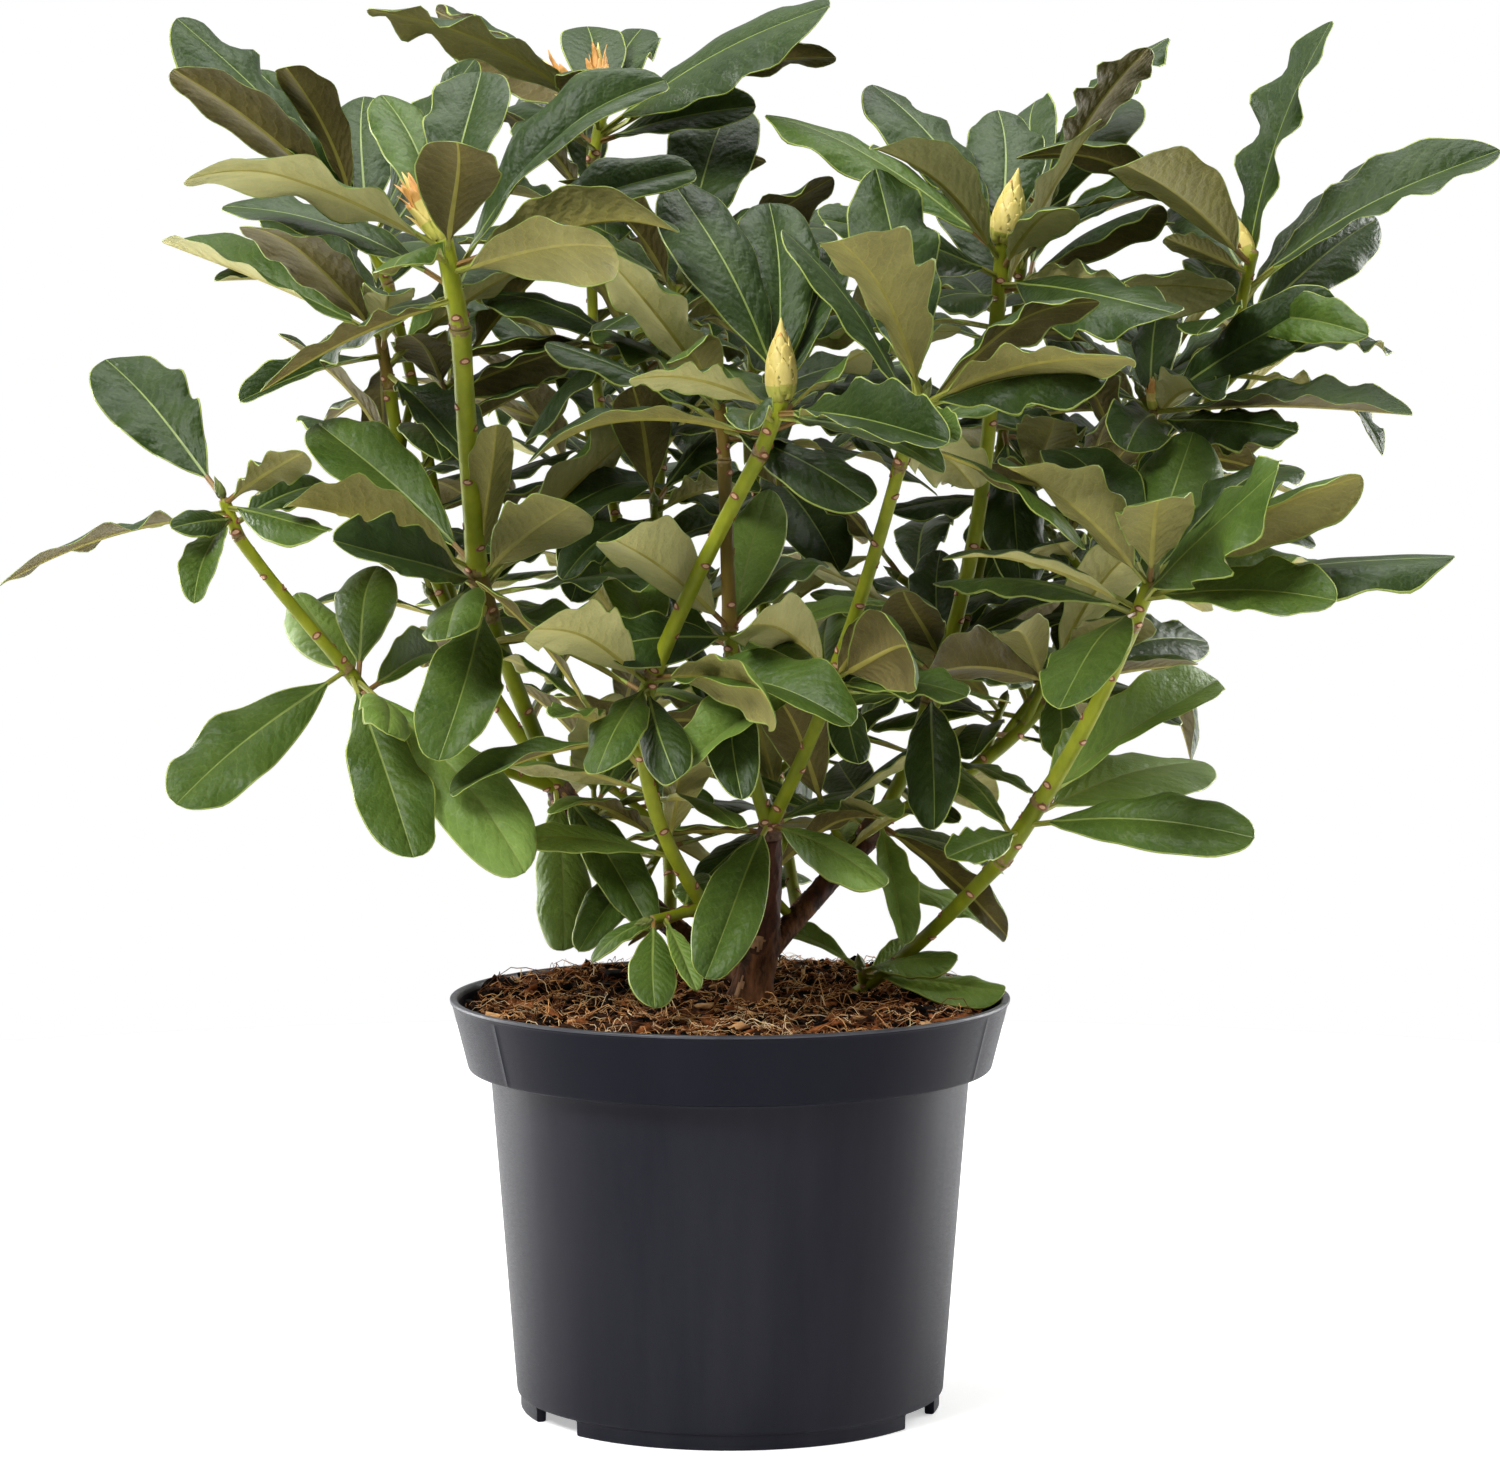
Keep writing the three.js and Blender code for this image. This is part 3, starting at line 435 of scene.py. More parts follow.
BOX_CORNERS = np.array([[x, y, z] for z in (-1, 1) for y in (-1, 1) for x in (-1, 1)], float)
BOX_FACES = np.array([[0, 2, 3, 1], [4, 5, 7, 6], [0, 1, 5, 4], [2, 6, 7, 3], [0, 4, 6, 2], [1, 3, 7, 5]])
OCTAHEDRON = np.array([[1, 0, 0], [-1, 0, 0], [0, 1, 0], [0, -1, 0], [0, 0, 1], [0, 0, -1]], float)
OCTAHEDRON_FACES = np.array([[0, 2, 4], [2, 1, 4], [1, 3, 4], [3, 0, 4],
                             [2, 0, 5], [1, 2, 5], [3, 1, 5], [0, 3, 5]])


def strewn(shape, sizes, tilt, lift, margin):
    """Copies of a small shape strewn over the compost: the corners are jittered and stretched to
    the copy's three half sizes, and it is leaned and set with its middle `lift` half heights
    above the surface."""
    count = len(sizes)
    x, y = scattered(count, margin)
    jitter = rng.uniform(-CORNER_JITTER, CORNER_JITTER, (count, *shape.shape))
    corners = shape[None] * (1 + jitter) * sizes[:, None, :]
    middle = np.stack([x, y, soil_level(x, y) + lift * sizes[:, 2]], 1)
    return (corners @ random_frames(count, tilt) + middle[:, None]).reshape(-1, 3)


chip_length = rng.uniform(*CHIP_LENGTH, CHIP_COUNT) * rng.uniform(0.4, 1, CHIP_COUNT)
chip_sizes = np.stack([chip_length, chip_length * rng.uniform(*CHIP_SLENDERNESS, CHIP_COUNT),
                       rng.uniform(*CHIP_THICKNESS, CHIP_COUNT)], 1)
crumb_sizes = rng.uniform(0.6, 1, (CRUMB_COUNT, 3)) * rng.uniform(*CRUMB_SIZE, (CRUMB_COUNT, 1))
chip_points = strewn(BOX_CORNERS, chip_sizes, 30, 0.5, 7)
crumb_points = strewn(OCTAHEDRON, crumb_sizes, 40, 0.1, 2.5)
chip_slots = np.repeat(rng.choice(4, CHIP_COUNT, p=CHIP_SHARES), len(BOX_FACES))
# Two crumbs in three take the near-black fourth kind, painted shade of the gaps.
crumb_slots = np.repeat(rng.choice([0, 3, 3], CRUMB_COUNT), len(OCTAHEDRON_FACES))
chip_materials = [simple_material(f"bark_chip_{i + 1}", 0.85, colours, 420.0, 1.0, 0.6, 0.0005, 0.05)
                  for i, colours in enumerate(CHIP_AND_SHADE_COLOURS)]
chips = make_piece("bark_chips", [
    (chip_points, [(repeated(BOX_FACES, 8, CHIP_COUNT), chip_slots)]),
    (crumb_points, [(repeated(OCTAHEDRON_FACES, 6, CRUMB_COUNT), crumb_slots)])], chip_materials)


def thread_tubes(paths, radii):
    """Three-sided tubes round many paths (n, stations, 3) at once, tapered by radii (n,
    stations), as points, quads and end caps. A ring stands square to its path."""
    count, stations = radii.shape
    ahead = np.gradient(paths, axis=1)
    ahead /= np.linalg.norm(ahead, axis=2, keepdims=True)
    side = np.cross(ahead, [0.31, 0.17, 0.93])
    side /= np.linalg.norm(side, axis=2, keepdims=True)
    above = np.cross(ahead, side)
    turn = np.arange(3) * 2 * np.pi / 3
    ring = (side[:, :, None] * np.cos(turn)[:, None] + above[:, :, None] * np.sin(turn)[:, None])
    points = (paths[:, :, None] + ring * radii[:, :, None, None]).reshape(-1, 3)
    caps = np.array([[2, 1, 0], [3 * stations - 3, 3 * stations - 2, 3 * stations - 1]])
    return (points, repeated(ring_quads(stations, 3), 3 * stations, count),
            repeated(caps, 3 * stations, count))


# A fibre is a straight run with a bow and a wave across it, both shares of its length, and its
# middle is arched up from the compost.
fibre_x, fibre_y = scattered(FIBRE_COUNT, 7)
fibre_length = rng.uniform(*FIBRE_LENGTH, FIBRE_COUNT) * rng.uniform(0.3, 1, FIBRE_COUNT)
fibre_heading = rng.uniform(0, 2 * np.pi, (FIBRE_COUNT, 1))
fibre_share = np.linspace(-0.5, 0.5, FIBRE_STATIONS)
fibre_bow = rng.normal(0, 0.2, (FIBRE_COUNT, 1)) * (1 - 4 * fibre_share ** 2)
fibre_wave = rng.normal(0, 0.055, (FIBRE_COUNT, 1)) * np.sin(9 * fibre_share + 3 * fibre_heading)
fibre_run = fibre_share * fibre_length[:, None]
fibre_aside = (fibre_bow + fibre_wave) * fibre_length[:, None]
path_x = fibre_x[:, None] + fibre_run * np.cos(fibre_heading) - fibre_aside * np.sin(fibre_heading)
path_y = fibre_y[:, None] + fibre_run * np.sin(fibre_heading) + fibre_aside * np.cos(fibre_heading)
wall = np.minimum(1, SOIL_EDGE_RADIUS / np.hypot(path_x, path_y))
path_x, path_y = path_x * wall, path_y * wall
fibre_lift = rng.uniform(0.1, 1.9, (FIBRE_COUNT, 1)) + rng.normal(0, 2.2, (FIBRE_COUNT, 1)) * fibre_share
fibre_lift = fibre_lift + rng.exponential(1.1, (FIBRE_COUNT, 1)) * (1 - 4 * fibre_share ** 2)
path_z = soil_level(path_x, path_y) + np.maximum(fibre_lift, -0.4)
fibre_radius = rng.uniform(*FIBRE_THICKNESS, (FIBRE_COUNT, 1)) * (1 - 1.6 * fibre_share ** 2)
fibre_points, fibre_quads, fibre_caps = thread_tubes(np.stack([path_x, path_y, path_z], 2), fibre_radius)
fibre_kind = rng.choice(3, FIBRE_COUNT, p=FIBRE_SHARES)
fibre_materials = [simple_material(f"root_fibre_{i + 1}", 0.8, colours, 300.0, shine=0.1)
                   for i, colours in enumerate(FIBRE_COLOURS)]
fibres = make_piece("root_fibres", [(fibre_points, [
    (fibre_quads, np.repeat(fibre_kind, 3 * (FIBRE_STATIONS - 1))),
    (fibre_caps, np.repeat(fibre_kind, 2))])], fibre_materials)
for piece in (soil, chips, fibres):
    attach(piece, "root")
    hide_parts("soil")

# ---- woody stems --------------------------------------------------------
# The old wood at the foot: a short leaning trunk and the boughs that fork low from it, under
# thin reddish-brown bark that splits lengthwise into ridges and flakes off in pale patches.

LIMBS = [  # name, grows from, how far along it, tip, foot and tip radius, bow of the middle, in mm
    ("trunk", "ground", 0, (16, -12, 236), 8, 4.6, (5, 4, 0)),
    ("leaves_middle_fork", "trunk", 1, (16, -13, 243), 5, 4.4),
    ("bough_left", "trunk", 0.2, (-68, 30, 246), 5, 4.2, (-2, 50, -26)),
    ("leaves_left_knot", "bough_left", 1, (-73, 28, 255), 5.4, 5),
    ("bough_low_left", "leaves_left_knot", 0.8, (-142, -22, 289), 2.9, 2.5, (0, -6, -4)),
    ("leaves_low_left_node", "bough_low_left", 1, (-155, -26, 307), 2.9, 2.7),
    ("bough_far_left", "leaves_low_left_node", 0.9, (-196, -40, 360), 2.5, 2.4, (-8, -4, 8)),
    ("leaves_far_left", "bough_far_left", 1, (-202, -42, 376), 2.5, 2.5),
    ("bough_tall_left", "leaves_left_knot", 0.8, (-97, -18, 327), 3.5, 3.4, (-4, 0, 6)),
    ("leaves_tall_left_node", "bough_tall_left", 1, (-102, -30, 348), 4, 4),
    ("bough_tall_left_top", "leaves_tall_left_node", 0.9, (-105, -72, 443), 4.2, 3.9, (0, -4, 0)),
    ("leaves_tall_left_top", "bough_tall_left_top", 1, (-111, -80, 479), 3.9, 3.7),
    ("bough_outer_left", "leaves_left_knot", 0.8, (-142, 50, 418), 3, 2.7, (-26, 16, -8)),
    ("leaves_outer_left", "bough_outer_left", 1, (-146, 48, 441), 2.7, 2.5),
    ("bough_back_left", "bough_outer_left", 0.45, (-146, 95, 462), 2.5, 2.4, (2, 30, 2)),
    ("leaves_back_left", "bough_back_left", 1, (-160, 90, 494), 2.5, 2.4),
    ("bough_front", "trunk", 0.26, (-35, -56, 293), 3, 2.8, (-26, -20, 0)),
    ("leaves_foot_left", "bough_front", 0.3, (-32, -43, 206), 2.2, 2),
    ("leaves_front_node", "bough_front", 1, (-30, -62, 307), 3.4, 3.4),
    ("bough_front_top", "leaves_front_node", 0.9, (12, -94, 394), 3.2, 3, (-3, 4, 0)),
    ("leaves_front_top", "bough_front_top", 1, (21, -100, 417), 3.2, 3.2),
    ("bough_inner", "bough_front", 0.7, (-23, 42, 441), 2.4, 2.2, (-10, 38, -20)),
    ("leaves_inner", "bough_inner", 1, (-21, 44, 462), 2.4, 2.2),
    ("bough_crown", "bough_inner", 0.35, (-58, 72, 512), 2.4, 2.2, (-18, 54, -18)),
    ("leaves_crown", "bough_crown", 1, (-54, 72, 533), 2.7, 2.5),
    ("bough_middle_left", "leaves_middle_fork", 0.7, (1, -36, 310), 3, 2.8, (-2, 2, -8)),
    ("leaves_middle_left_node", "bough_middle_left", 1, (0, -38, 324), 3, 2.9),
    ("bough_middle_left_top", "leaves_middle_left_node", 0.9, (-2, -50, 391), 2.8, 2.7),
    ("leaves_middle_left_top", "bough_middle_left_top", 1, (-4, -52, 414), 2.5, 2.5),
    ("bough_middle_right", "leaves_middle_fork", 0.7, (38, -43, 293), 2.9, 2.7, (0, 0, -4)),
    ("leaves_middle_right_node", "bough_middle_right", 1, (43, -50, 309), 3, 3),
    ("bough_middle_right_top", "leaves_middle_right_node", 0.9, (66, -98, 390), 2.9, 2.5, (3, 0, 4)),
    ("leaves_middle_right_top", "bough_middle_right_top", 1, (75, -112, 417), 2.9, 2.7),
    ("bough_right", "trunk", 0.3, (57, 32, 231), 4.6, 4.4, (0, 12, 0)),
    ("leaves_right_knot", "bough_right", 1, (62, 31, 240), 5.4, 5),
    ("bough_tall_right", "leaves_right_knot", 0.8, (82, 24, 289), 3, 2.9, (2, 0, -8)),
    ("leaves_tall_right_node", "bough_tall_right", 1, (88, 22, 306), 3.2, 3.2),
    ("bough_tall_right_top", "leaves_tall_right_node", 0.9, (107, 0, 430), 3.2, 2.9, (8, 6, -10)),
    ("leaves_tall_right_top", "bough_tall_right_top", 1, (111, -6, 481), 3, 3.4),
    ("bough_outer_right", "leaves_right_knot", 0.8, (132, 50, 287), 2.9, 2.7, (12, 12, -6)),
    ("leaves_outer_right_node", "bough_outer_right", 1, (140, 50, 302), 3, 3),
    ("bough_outer_right_top", "leaves_outer_right_node", 0.9, (173, 40, 393), 2.7, 2.4, (6, 6, -8)),
    ("leaves_outer_right_top", "bough_outer_right_top", 1, (176, 38, 411), 2.5, 2.5),
    ("bough_upper_right", "bough_outer_right_top", 0.35, (207, 50, 426), 2.4, 2.2, (6, 22, 4)),
    ("leaves_upper_right", "bough_upper_right", 1, (216, 32, 476), 2.5, 2.5),
    ("bough_low_right", "ground", 0, (109, -40, 230), 2.6, 3.2, (-4, 4, -12)),
    ("leaves_foot_right", "bough_low_right", 0.16, (54, 8, 180), 2.2, 2),
    ("leaves_low_right_node", "bough_low_right", 1, (125, -50, 256), 3.7, 3.7),
    ("bough_far_right", "leaves_low_right_node", 0.9, (158, -75, 326), 3.3, 3, (4, -2, 0)),
    ("leaves_far_right", "bough_far_right", 1, (165, -82, 345), 3.2, 3),
    ("bough_rear_left", "bough_left", 0.45, (-46, 148, 312), 2.7, 2.5, (12, 20, -20)),
    ("leaves_rear_left", "bough_rear_left", 1, (-73, 178, 432), 2.5, 2.4, (6, 6, 0)),
    ("bough_rear_middle", "bough_right", 0.4, (14, 152, 310), 2.7, 2.5, (0, 30, -30)),
    ("leaves_rear_middle", "bough_rear_middle", 1, (8, 186, 455), 2.5, 2.4, (0, 10, 0)),
    ("bough_behind_right", "leaves_right_knot", 0.6, (114, 92, 382), 2.7, 2.5, (16, 32, -6)),
    ("leaves_behind_right", "bough_behind_right", 1, (125, 86, 492), 2.5, 2.4, (2, 2, 0)),
    ("bough_rear_right", "bough_outer_right", 0.5, (148, 150, 312), 2.5, 2.4, (6, 22, -14)),
    ("leaves_rear_right", "bough_rear_right", 1, (175, 188, 409), 2.4, 2.4, (2, 6, 0)),
]
GROUND_FEET = {"trunk": (7, 0, 162), "bough_low_right": (45, 27, 162)}
WOODY_LIMBS = ["trunk", "bough_left", "bough_right"]
STATION_RUN = 1.1
STEM_SIDES = 16
BARK_SIDES = 40
TRUNK_FLARE = 3.2
TRUNK_LOBES = (0.20, 0.09)  # two and three round the trunk, dying away from the ground
LOBE_RUN = 26.0
RIDGE_HEIGHT = 0.080
CRACKLE_HEIGHT = 0.025
FLAKE_FROM = 0.40
FLAKES_END = 0.45
RED_FROM = 0.42
FOOT_SWELL = 0.30
FOOT_SWELL_RUN = 5.0
TIP_SWELL = 0.16
TIP_SWELL_RUN = 5.0
BARK_BROWN = ((0.024, 0.009, 0.003), (0.170, 0.072, 0.030))
BARK_RED = ((0.018, 0.006, 0.003), (0.100, 0.034, 0.016))
BARK_FLAKE = ((0.170, 0.085, 0.038), (0.400, 0.235, 0.125))


def curve_points(start, tip, bow, shares):
    """Points on the curve from start to tip whose bend stands off the chord's middle by the
    bow, at even shares of its length: a quadratic curve, looked up by distance along it."""
    start, tip = np.array(start, float), np.array(tip, float)
    bend = (start + tip) / 2 + np.array(bow, float)
    t = np.linspace(0, 1, 400)[:, None]
    fine = (1 - t) ** 2 * start + 2 * t * (1 - t) * bend + t ** 2 * tip
    run = np.concatenate([[0], np.cumsum(np.linalg.norm(np.diff(fine, axis=0), axis=1))])
    return np.stack([np.interp(np.asarray(shares) * run[-1], run, fine[:, i]) for i in range(3)], -1), run[-1]


def tube_frame(path):
    """Tangent, side and upper direction at each point of a path, with no twist: the side is
    square to the plane that the path bends in."""
    ahead = np.gradient(path, axis=0)
    ahead /= np.linalg.norm(ahead, axis=1, keepdims=True)
    plane = np.cross(path[-1] - path[0], path[len(path) // 2] - path[0])
    if np.linalg.norm(plane) < 1.0:
        plane = np.cross(ahead[0], [0.6, 0.8, 0.05])
    side = plane - ahead * (ahead @ plane)[:, None]
    side /= np.linalg.norm(side, axis=1, keepdims=True)
    return ahead, side, np.cross(side, ahead)


def tube_surface(path, radii):
    """Rings round a path: path + radius (side cos a + upper sin a), with radii (stations, sides)
    and one closing point at each end, as points, end triangles and quads."""
    stations, sides = radii.shape
    _, side, above = tube_frame(path)
    angle = np.arange(sides) * 2 * np.pi / sides
    ring = side[:, None] * np.cos(angle)[:, None] + above[:, None] * np.sin(angle)[:, None]
    points = path[:, None] + ring * radii[:, :, None]
    return (np.concatenate([path[:1], points.reshape(-1, 3), path[-1:]]), *turned_faces(stations, sides))


limbs = {}
for name, parent, along, tip, foot_radius, tip_radius, *bow in LIMBS:
    start = GROUND_FEET[name] if parent == "ground" else limbs[parent]["at"](along)
    bow = bow[0] if bow else (0, 0, 0)
    limbs[name] = {
        "length": curve_points(start, tip, bow, [1.0])[1], "radii": (foot_radius, tip_radius),
        "at": lambda share, a=start, b=tip, c=bow: curve_points(a, b, c, np.atleast_1d(share))[0].squeeze(),
    }


def limb_radius(name, share):
    """A limb's radius by its taper, with a swelling at its foot where it leaves its parent and a
    smaller one at its tip, each dying away exponentially, and the trunk's flare at the ground."""
    limb = limbs[name]
    foot_radius, tip_radius = limb["radii"]
    radius = foot_radius + (tip_radius - foot_radius) * share
    foot_run, tip_run = share * limb["length"], (1 - share) * limb["length"]
    if name == "trunk":
        return radius + TRUNK_FLARE * (1 - share) ** 8
    if name.startswith("leaves_"):
        return radius * (1 + 0.10 * np.exp(-foot_run / 3.0))
    swell = FOOT_SWELL * np.exp(-foot_run / FOOT_SWELL_RUN) + TIP_SWELL * np.exp(-tip_run / TIP_SWELL_RUN)
    return radius * (1 + swell)


def bark_relief(angle, run, seed):
    """Bark as a share of the radius: sharp lengthwise ridges, which are the folded ripples of
    (angle, run / 9), plus a fine crackle, both wandering a little round the limb."""
    wander = 0.5 * ripple(np.stack([run / 14.0], -1), 1.0, seed)
    spot = np.stack([6 * np.cos(angle + wander), 6 * np.sin(angle + wander), run / 9.0], -1)
    ridges = 1 - 2 * np.abs(ripple(spot, 5.0, seed + 1))
    crackle = ripple(spot * [1, 1, 5.0], 2.0, seed + 2)
    return RIDGE_HEIGHT * ridges + CRACKLE_HEIGHT * crackle


woody_parts = []
angle = np.arange(BARK_SIDES) * 2 * np.pi / BARK_SIDES
for seed, name in enumerate(WOODY_LIMBS):
    stations = int(limbs[name]["length"] / STATION_RUN)
    share = np.linspace(0, 1, stations)
    run = share[:, None] * limbs[name]["length"]
    relief = bark_relief(angle + 0 * run, run + 0 * angle, 60 + 5 * seed)
    lobes = TRUNK_LOBES[0] * np.cos(2 * angle + 0.6) + TRUNK_LOBES[1] * np.cos(3 * angle)
    lobes = lobes * np.exp(-run / LOBE_RUN)
    radii = limb_radius(name, share)[:, None] * (1 + relief + lobes * (name == "trunk"))
    points, poles, quads = tube_surface(limbs[name]["at"](share), radii)
    # Flakes: where a slow ripple over the limb stands high, the bark has come off. Further
    # up the bark is younger, smoother and redder.
    middle = np.repeat(share[:-1], BARK_SIDES)
    patch = ripple(points[1:1 + len(middle)] * [1, 1, 0.45], 13.0, 90 + seed)
    flaked = (patch > FLAKE_FROM) & (middle < FLAKES_END)
    kind = np.where(flaked, 2, middle + 0.25 * patch > RED_FROM)
    woody_parts.append((points, [(poles, 1), (quads, kind)]))
woody = make_piece("woody_stems", woody_parts, [
    simple_material("bark_brown", 0.8, BARK_BROWN, 260.0, 0.3, 0.7, 0.0011, 0.12),
    simple_material("bark_red", 0.65, BARK_RED, 300.0, 0.3, 0.6, 0.0006, 0.2),
    simple_material("bark_flake", 0.85, BARK_FLAKE, 380.0, 0.25, 0.7, 0.0008, 0.12)])
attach(woody, "root")
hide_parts(*WOODY_LIMBS)

# ---- green shoots -------------------------------------------------------
# The younger wood: smooth yellow-green shoots, one year's growth on top of another. Each
# year starts at a knot with a belt of fine reddish rings, left by the scales of its old bud.

SHOOT_GREEN = ((0.110, 0.135, 0.004), (0.220, 0.250, 0.008))
SHOOT_PALE = ((0.150, 0.185, 0.006), (0.300, 0.325, 0.016))
SHOOT_RUST = ((0.080, 0.060, 0.008), (0.230, 0.150, 0.025))
RING_RED = ((0.12, 0.085, 0.018), (0.26, 0.17, 0.045))
KNOT_BROWN = ((0.055, 0.028, 0.018), (0.16, 0.085, 0.05))
RING_HEIGHT = 0.05
RING_BELT = 5.0
RING_SPACING = 1.25
RING_SCAR, KNOT, RUST = 2, 3, 4
RUSTY_LIMBS = ["bough_middle_left_top", "leaves_middle_left_top", "leaves_outer_left",
               "leaves_tall_left_node", "leaves_outer_right_node", "leaves_outer_right_top"]
KNOT_LIMBS = ["leaves_left_knot", "leaves_right_knot", "leaves_middle_fork"]
YOUNG_ENDINGS = ("_top", "_crown", "upper_right", "far_left", "far_right", "front")


def shoot_part(name, seed):
    """One shoot's points and faces with their materials: the limb's taper and swellings, a slight
    bumpiness, and low sine rings that die away from both ends of a year's growth, where they
    are red. A knot is brown all over."""
    length, tip_radius = limbs[name]["length"], limbs[name]["radii"][1]
    share = np.linspace(0, 1, max(6, int(length / STATION_RUN)))
    run = share[:, None] * length
    from_end = np.minimum(run, length - run)
    rings = RING_HEIGHT * np.sin(2 * np.pi * run / RING_SPACING) * np.exp(-from_end / RING_BELT)
    angle = np.arange(STEM_SIDES) * 2 * np.pi / STEM_SIDES
    spot = np.stack(np.broadcast_arrays(4 * np.cos(angle), 4 * np.sin(angle), run / 3), -1)
    bumps = 0.035 * ripple(spot, 4.0, seed) + 0.02 * np.cos(5 * angle + seed)
    radii = limb_radius(name, share)[:, None] * (1 + rings + bumps)
    if name.startswith("leaves_"):
        closing = np.clip((1 - share[:, None]) * length / (0.8 * tip_radius), 0, 1)
        radii = radii * np.sqrt(1 - (1 - closing) ** 2 * 0.96)
    points, poles, quads = tube_surface(limbs[name]["at"](share), radii)
    skin = KNOT if name in KNOT_LIMBS else RUST if name in RUSTY_LIMBS else int(name.endswith(YOUNG_ENDINGS))
    belt = from_end[:-1] + 1.8 * ripple(spot[:-1], 3.0, seed + 400) < RING_BELT * 0.36
    kind = np.where(belt & (skin != KNOT), RING_SCAR, skin)
    if name == "bough_front":
        kind[:len(share) // 7] = KNOT
    return points, [(poles, skin), (quads, kind.ravel())]


shoot_names = [name for name in limbs if name not in WOODY_LIMBS and not name.startswith("leaves_")]
twig_names = [name for name in limbs if name.startswith("leaves_")]
shoot_materials = [simple_material("shoot_green", 0.5, SHOOT_GREEN, 130.0, 0.5, 0.5, 0.00015, 0.2),
                   simple_material("shoot_pale", 0.5, SHOOT_PALE, 130.0, 0.5, 0.5, 0.00015, 0.2),
                   simple_material("ring_scar_red", 0.6, RING_RED, 500.0, 1.0, 0.6, 0.0002),
                   simple_material("knot_brown", 0.8, KNOT_BROWN, 350.0, 1.0, 0.7, 0.0006),
                   simple_material("shoot_rust", 0.5, SHOOT_RUST, 90.0, 0.3, 0.5, 0.00015, 0.2)]


def make_shoots(piece_name, names):
    """Many shoots joined in one piece."""
    parts = [shoot_part(name, 200 + i) for i, name in enumerate(names)]
    return make_piece(piece_name, parts, shoot_materials)


shoots = make_shoots("green_shoots", shoot_names)
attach(shoots, "root")
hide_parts(*shoot_names)

# ---- leaves -------------------------------------------------------------
# Thick evergreen leaves in whorls round the end of each year's growth: glossy dark green
# above, matt olive below, with a pale midrib, a thin yellow-green margin that runs in waves, and
# a stout stalk. Each blade arches, folds a little at the midrib and twists on its way out.

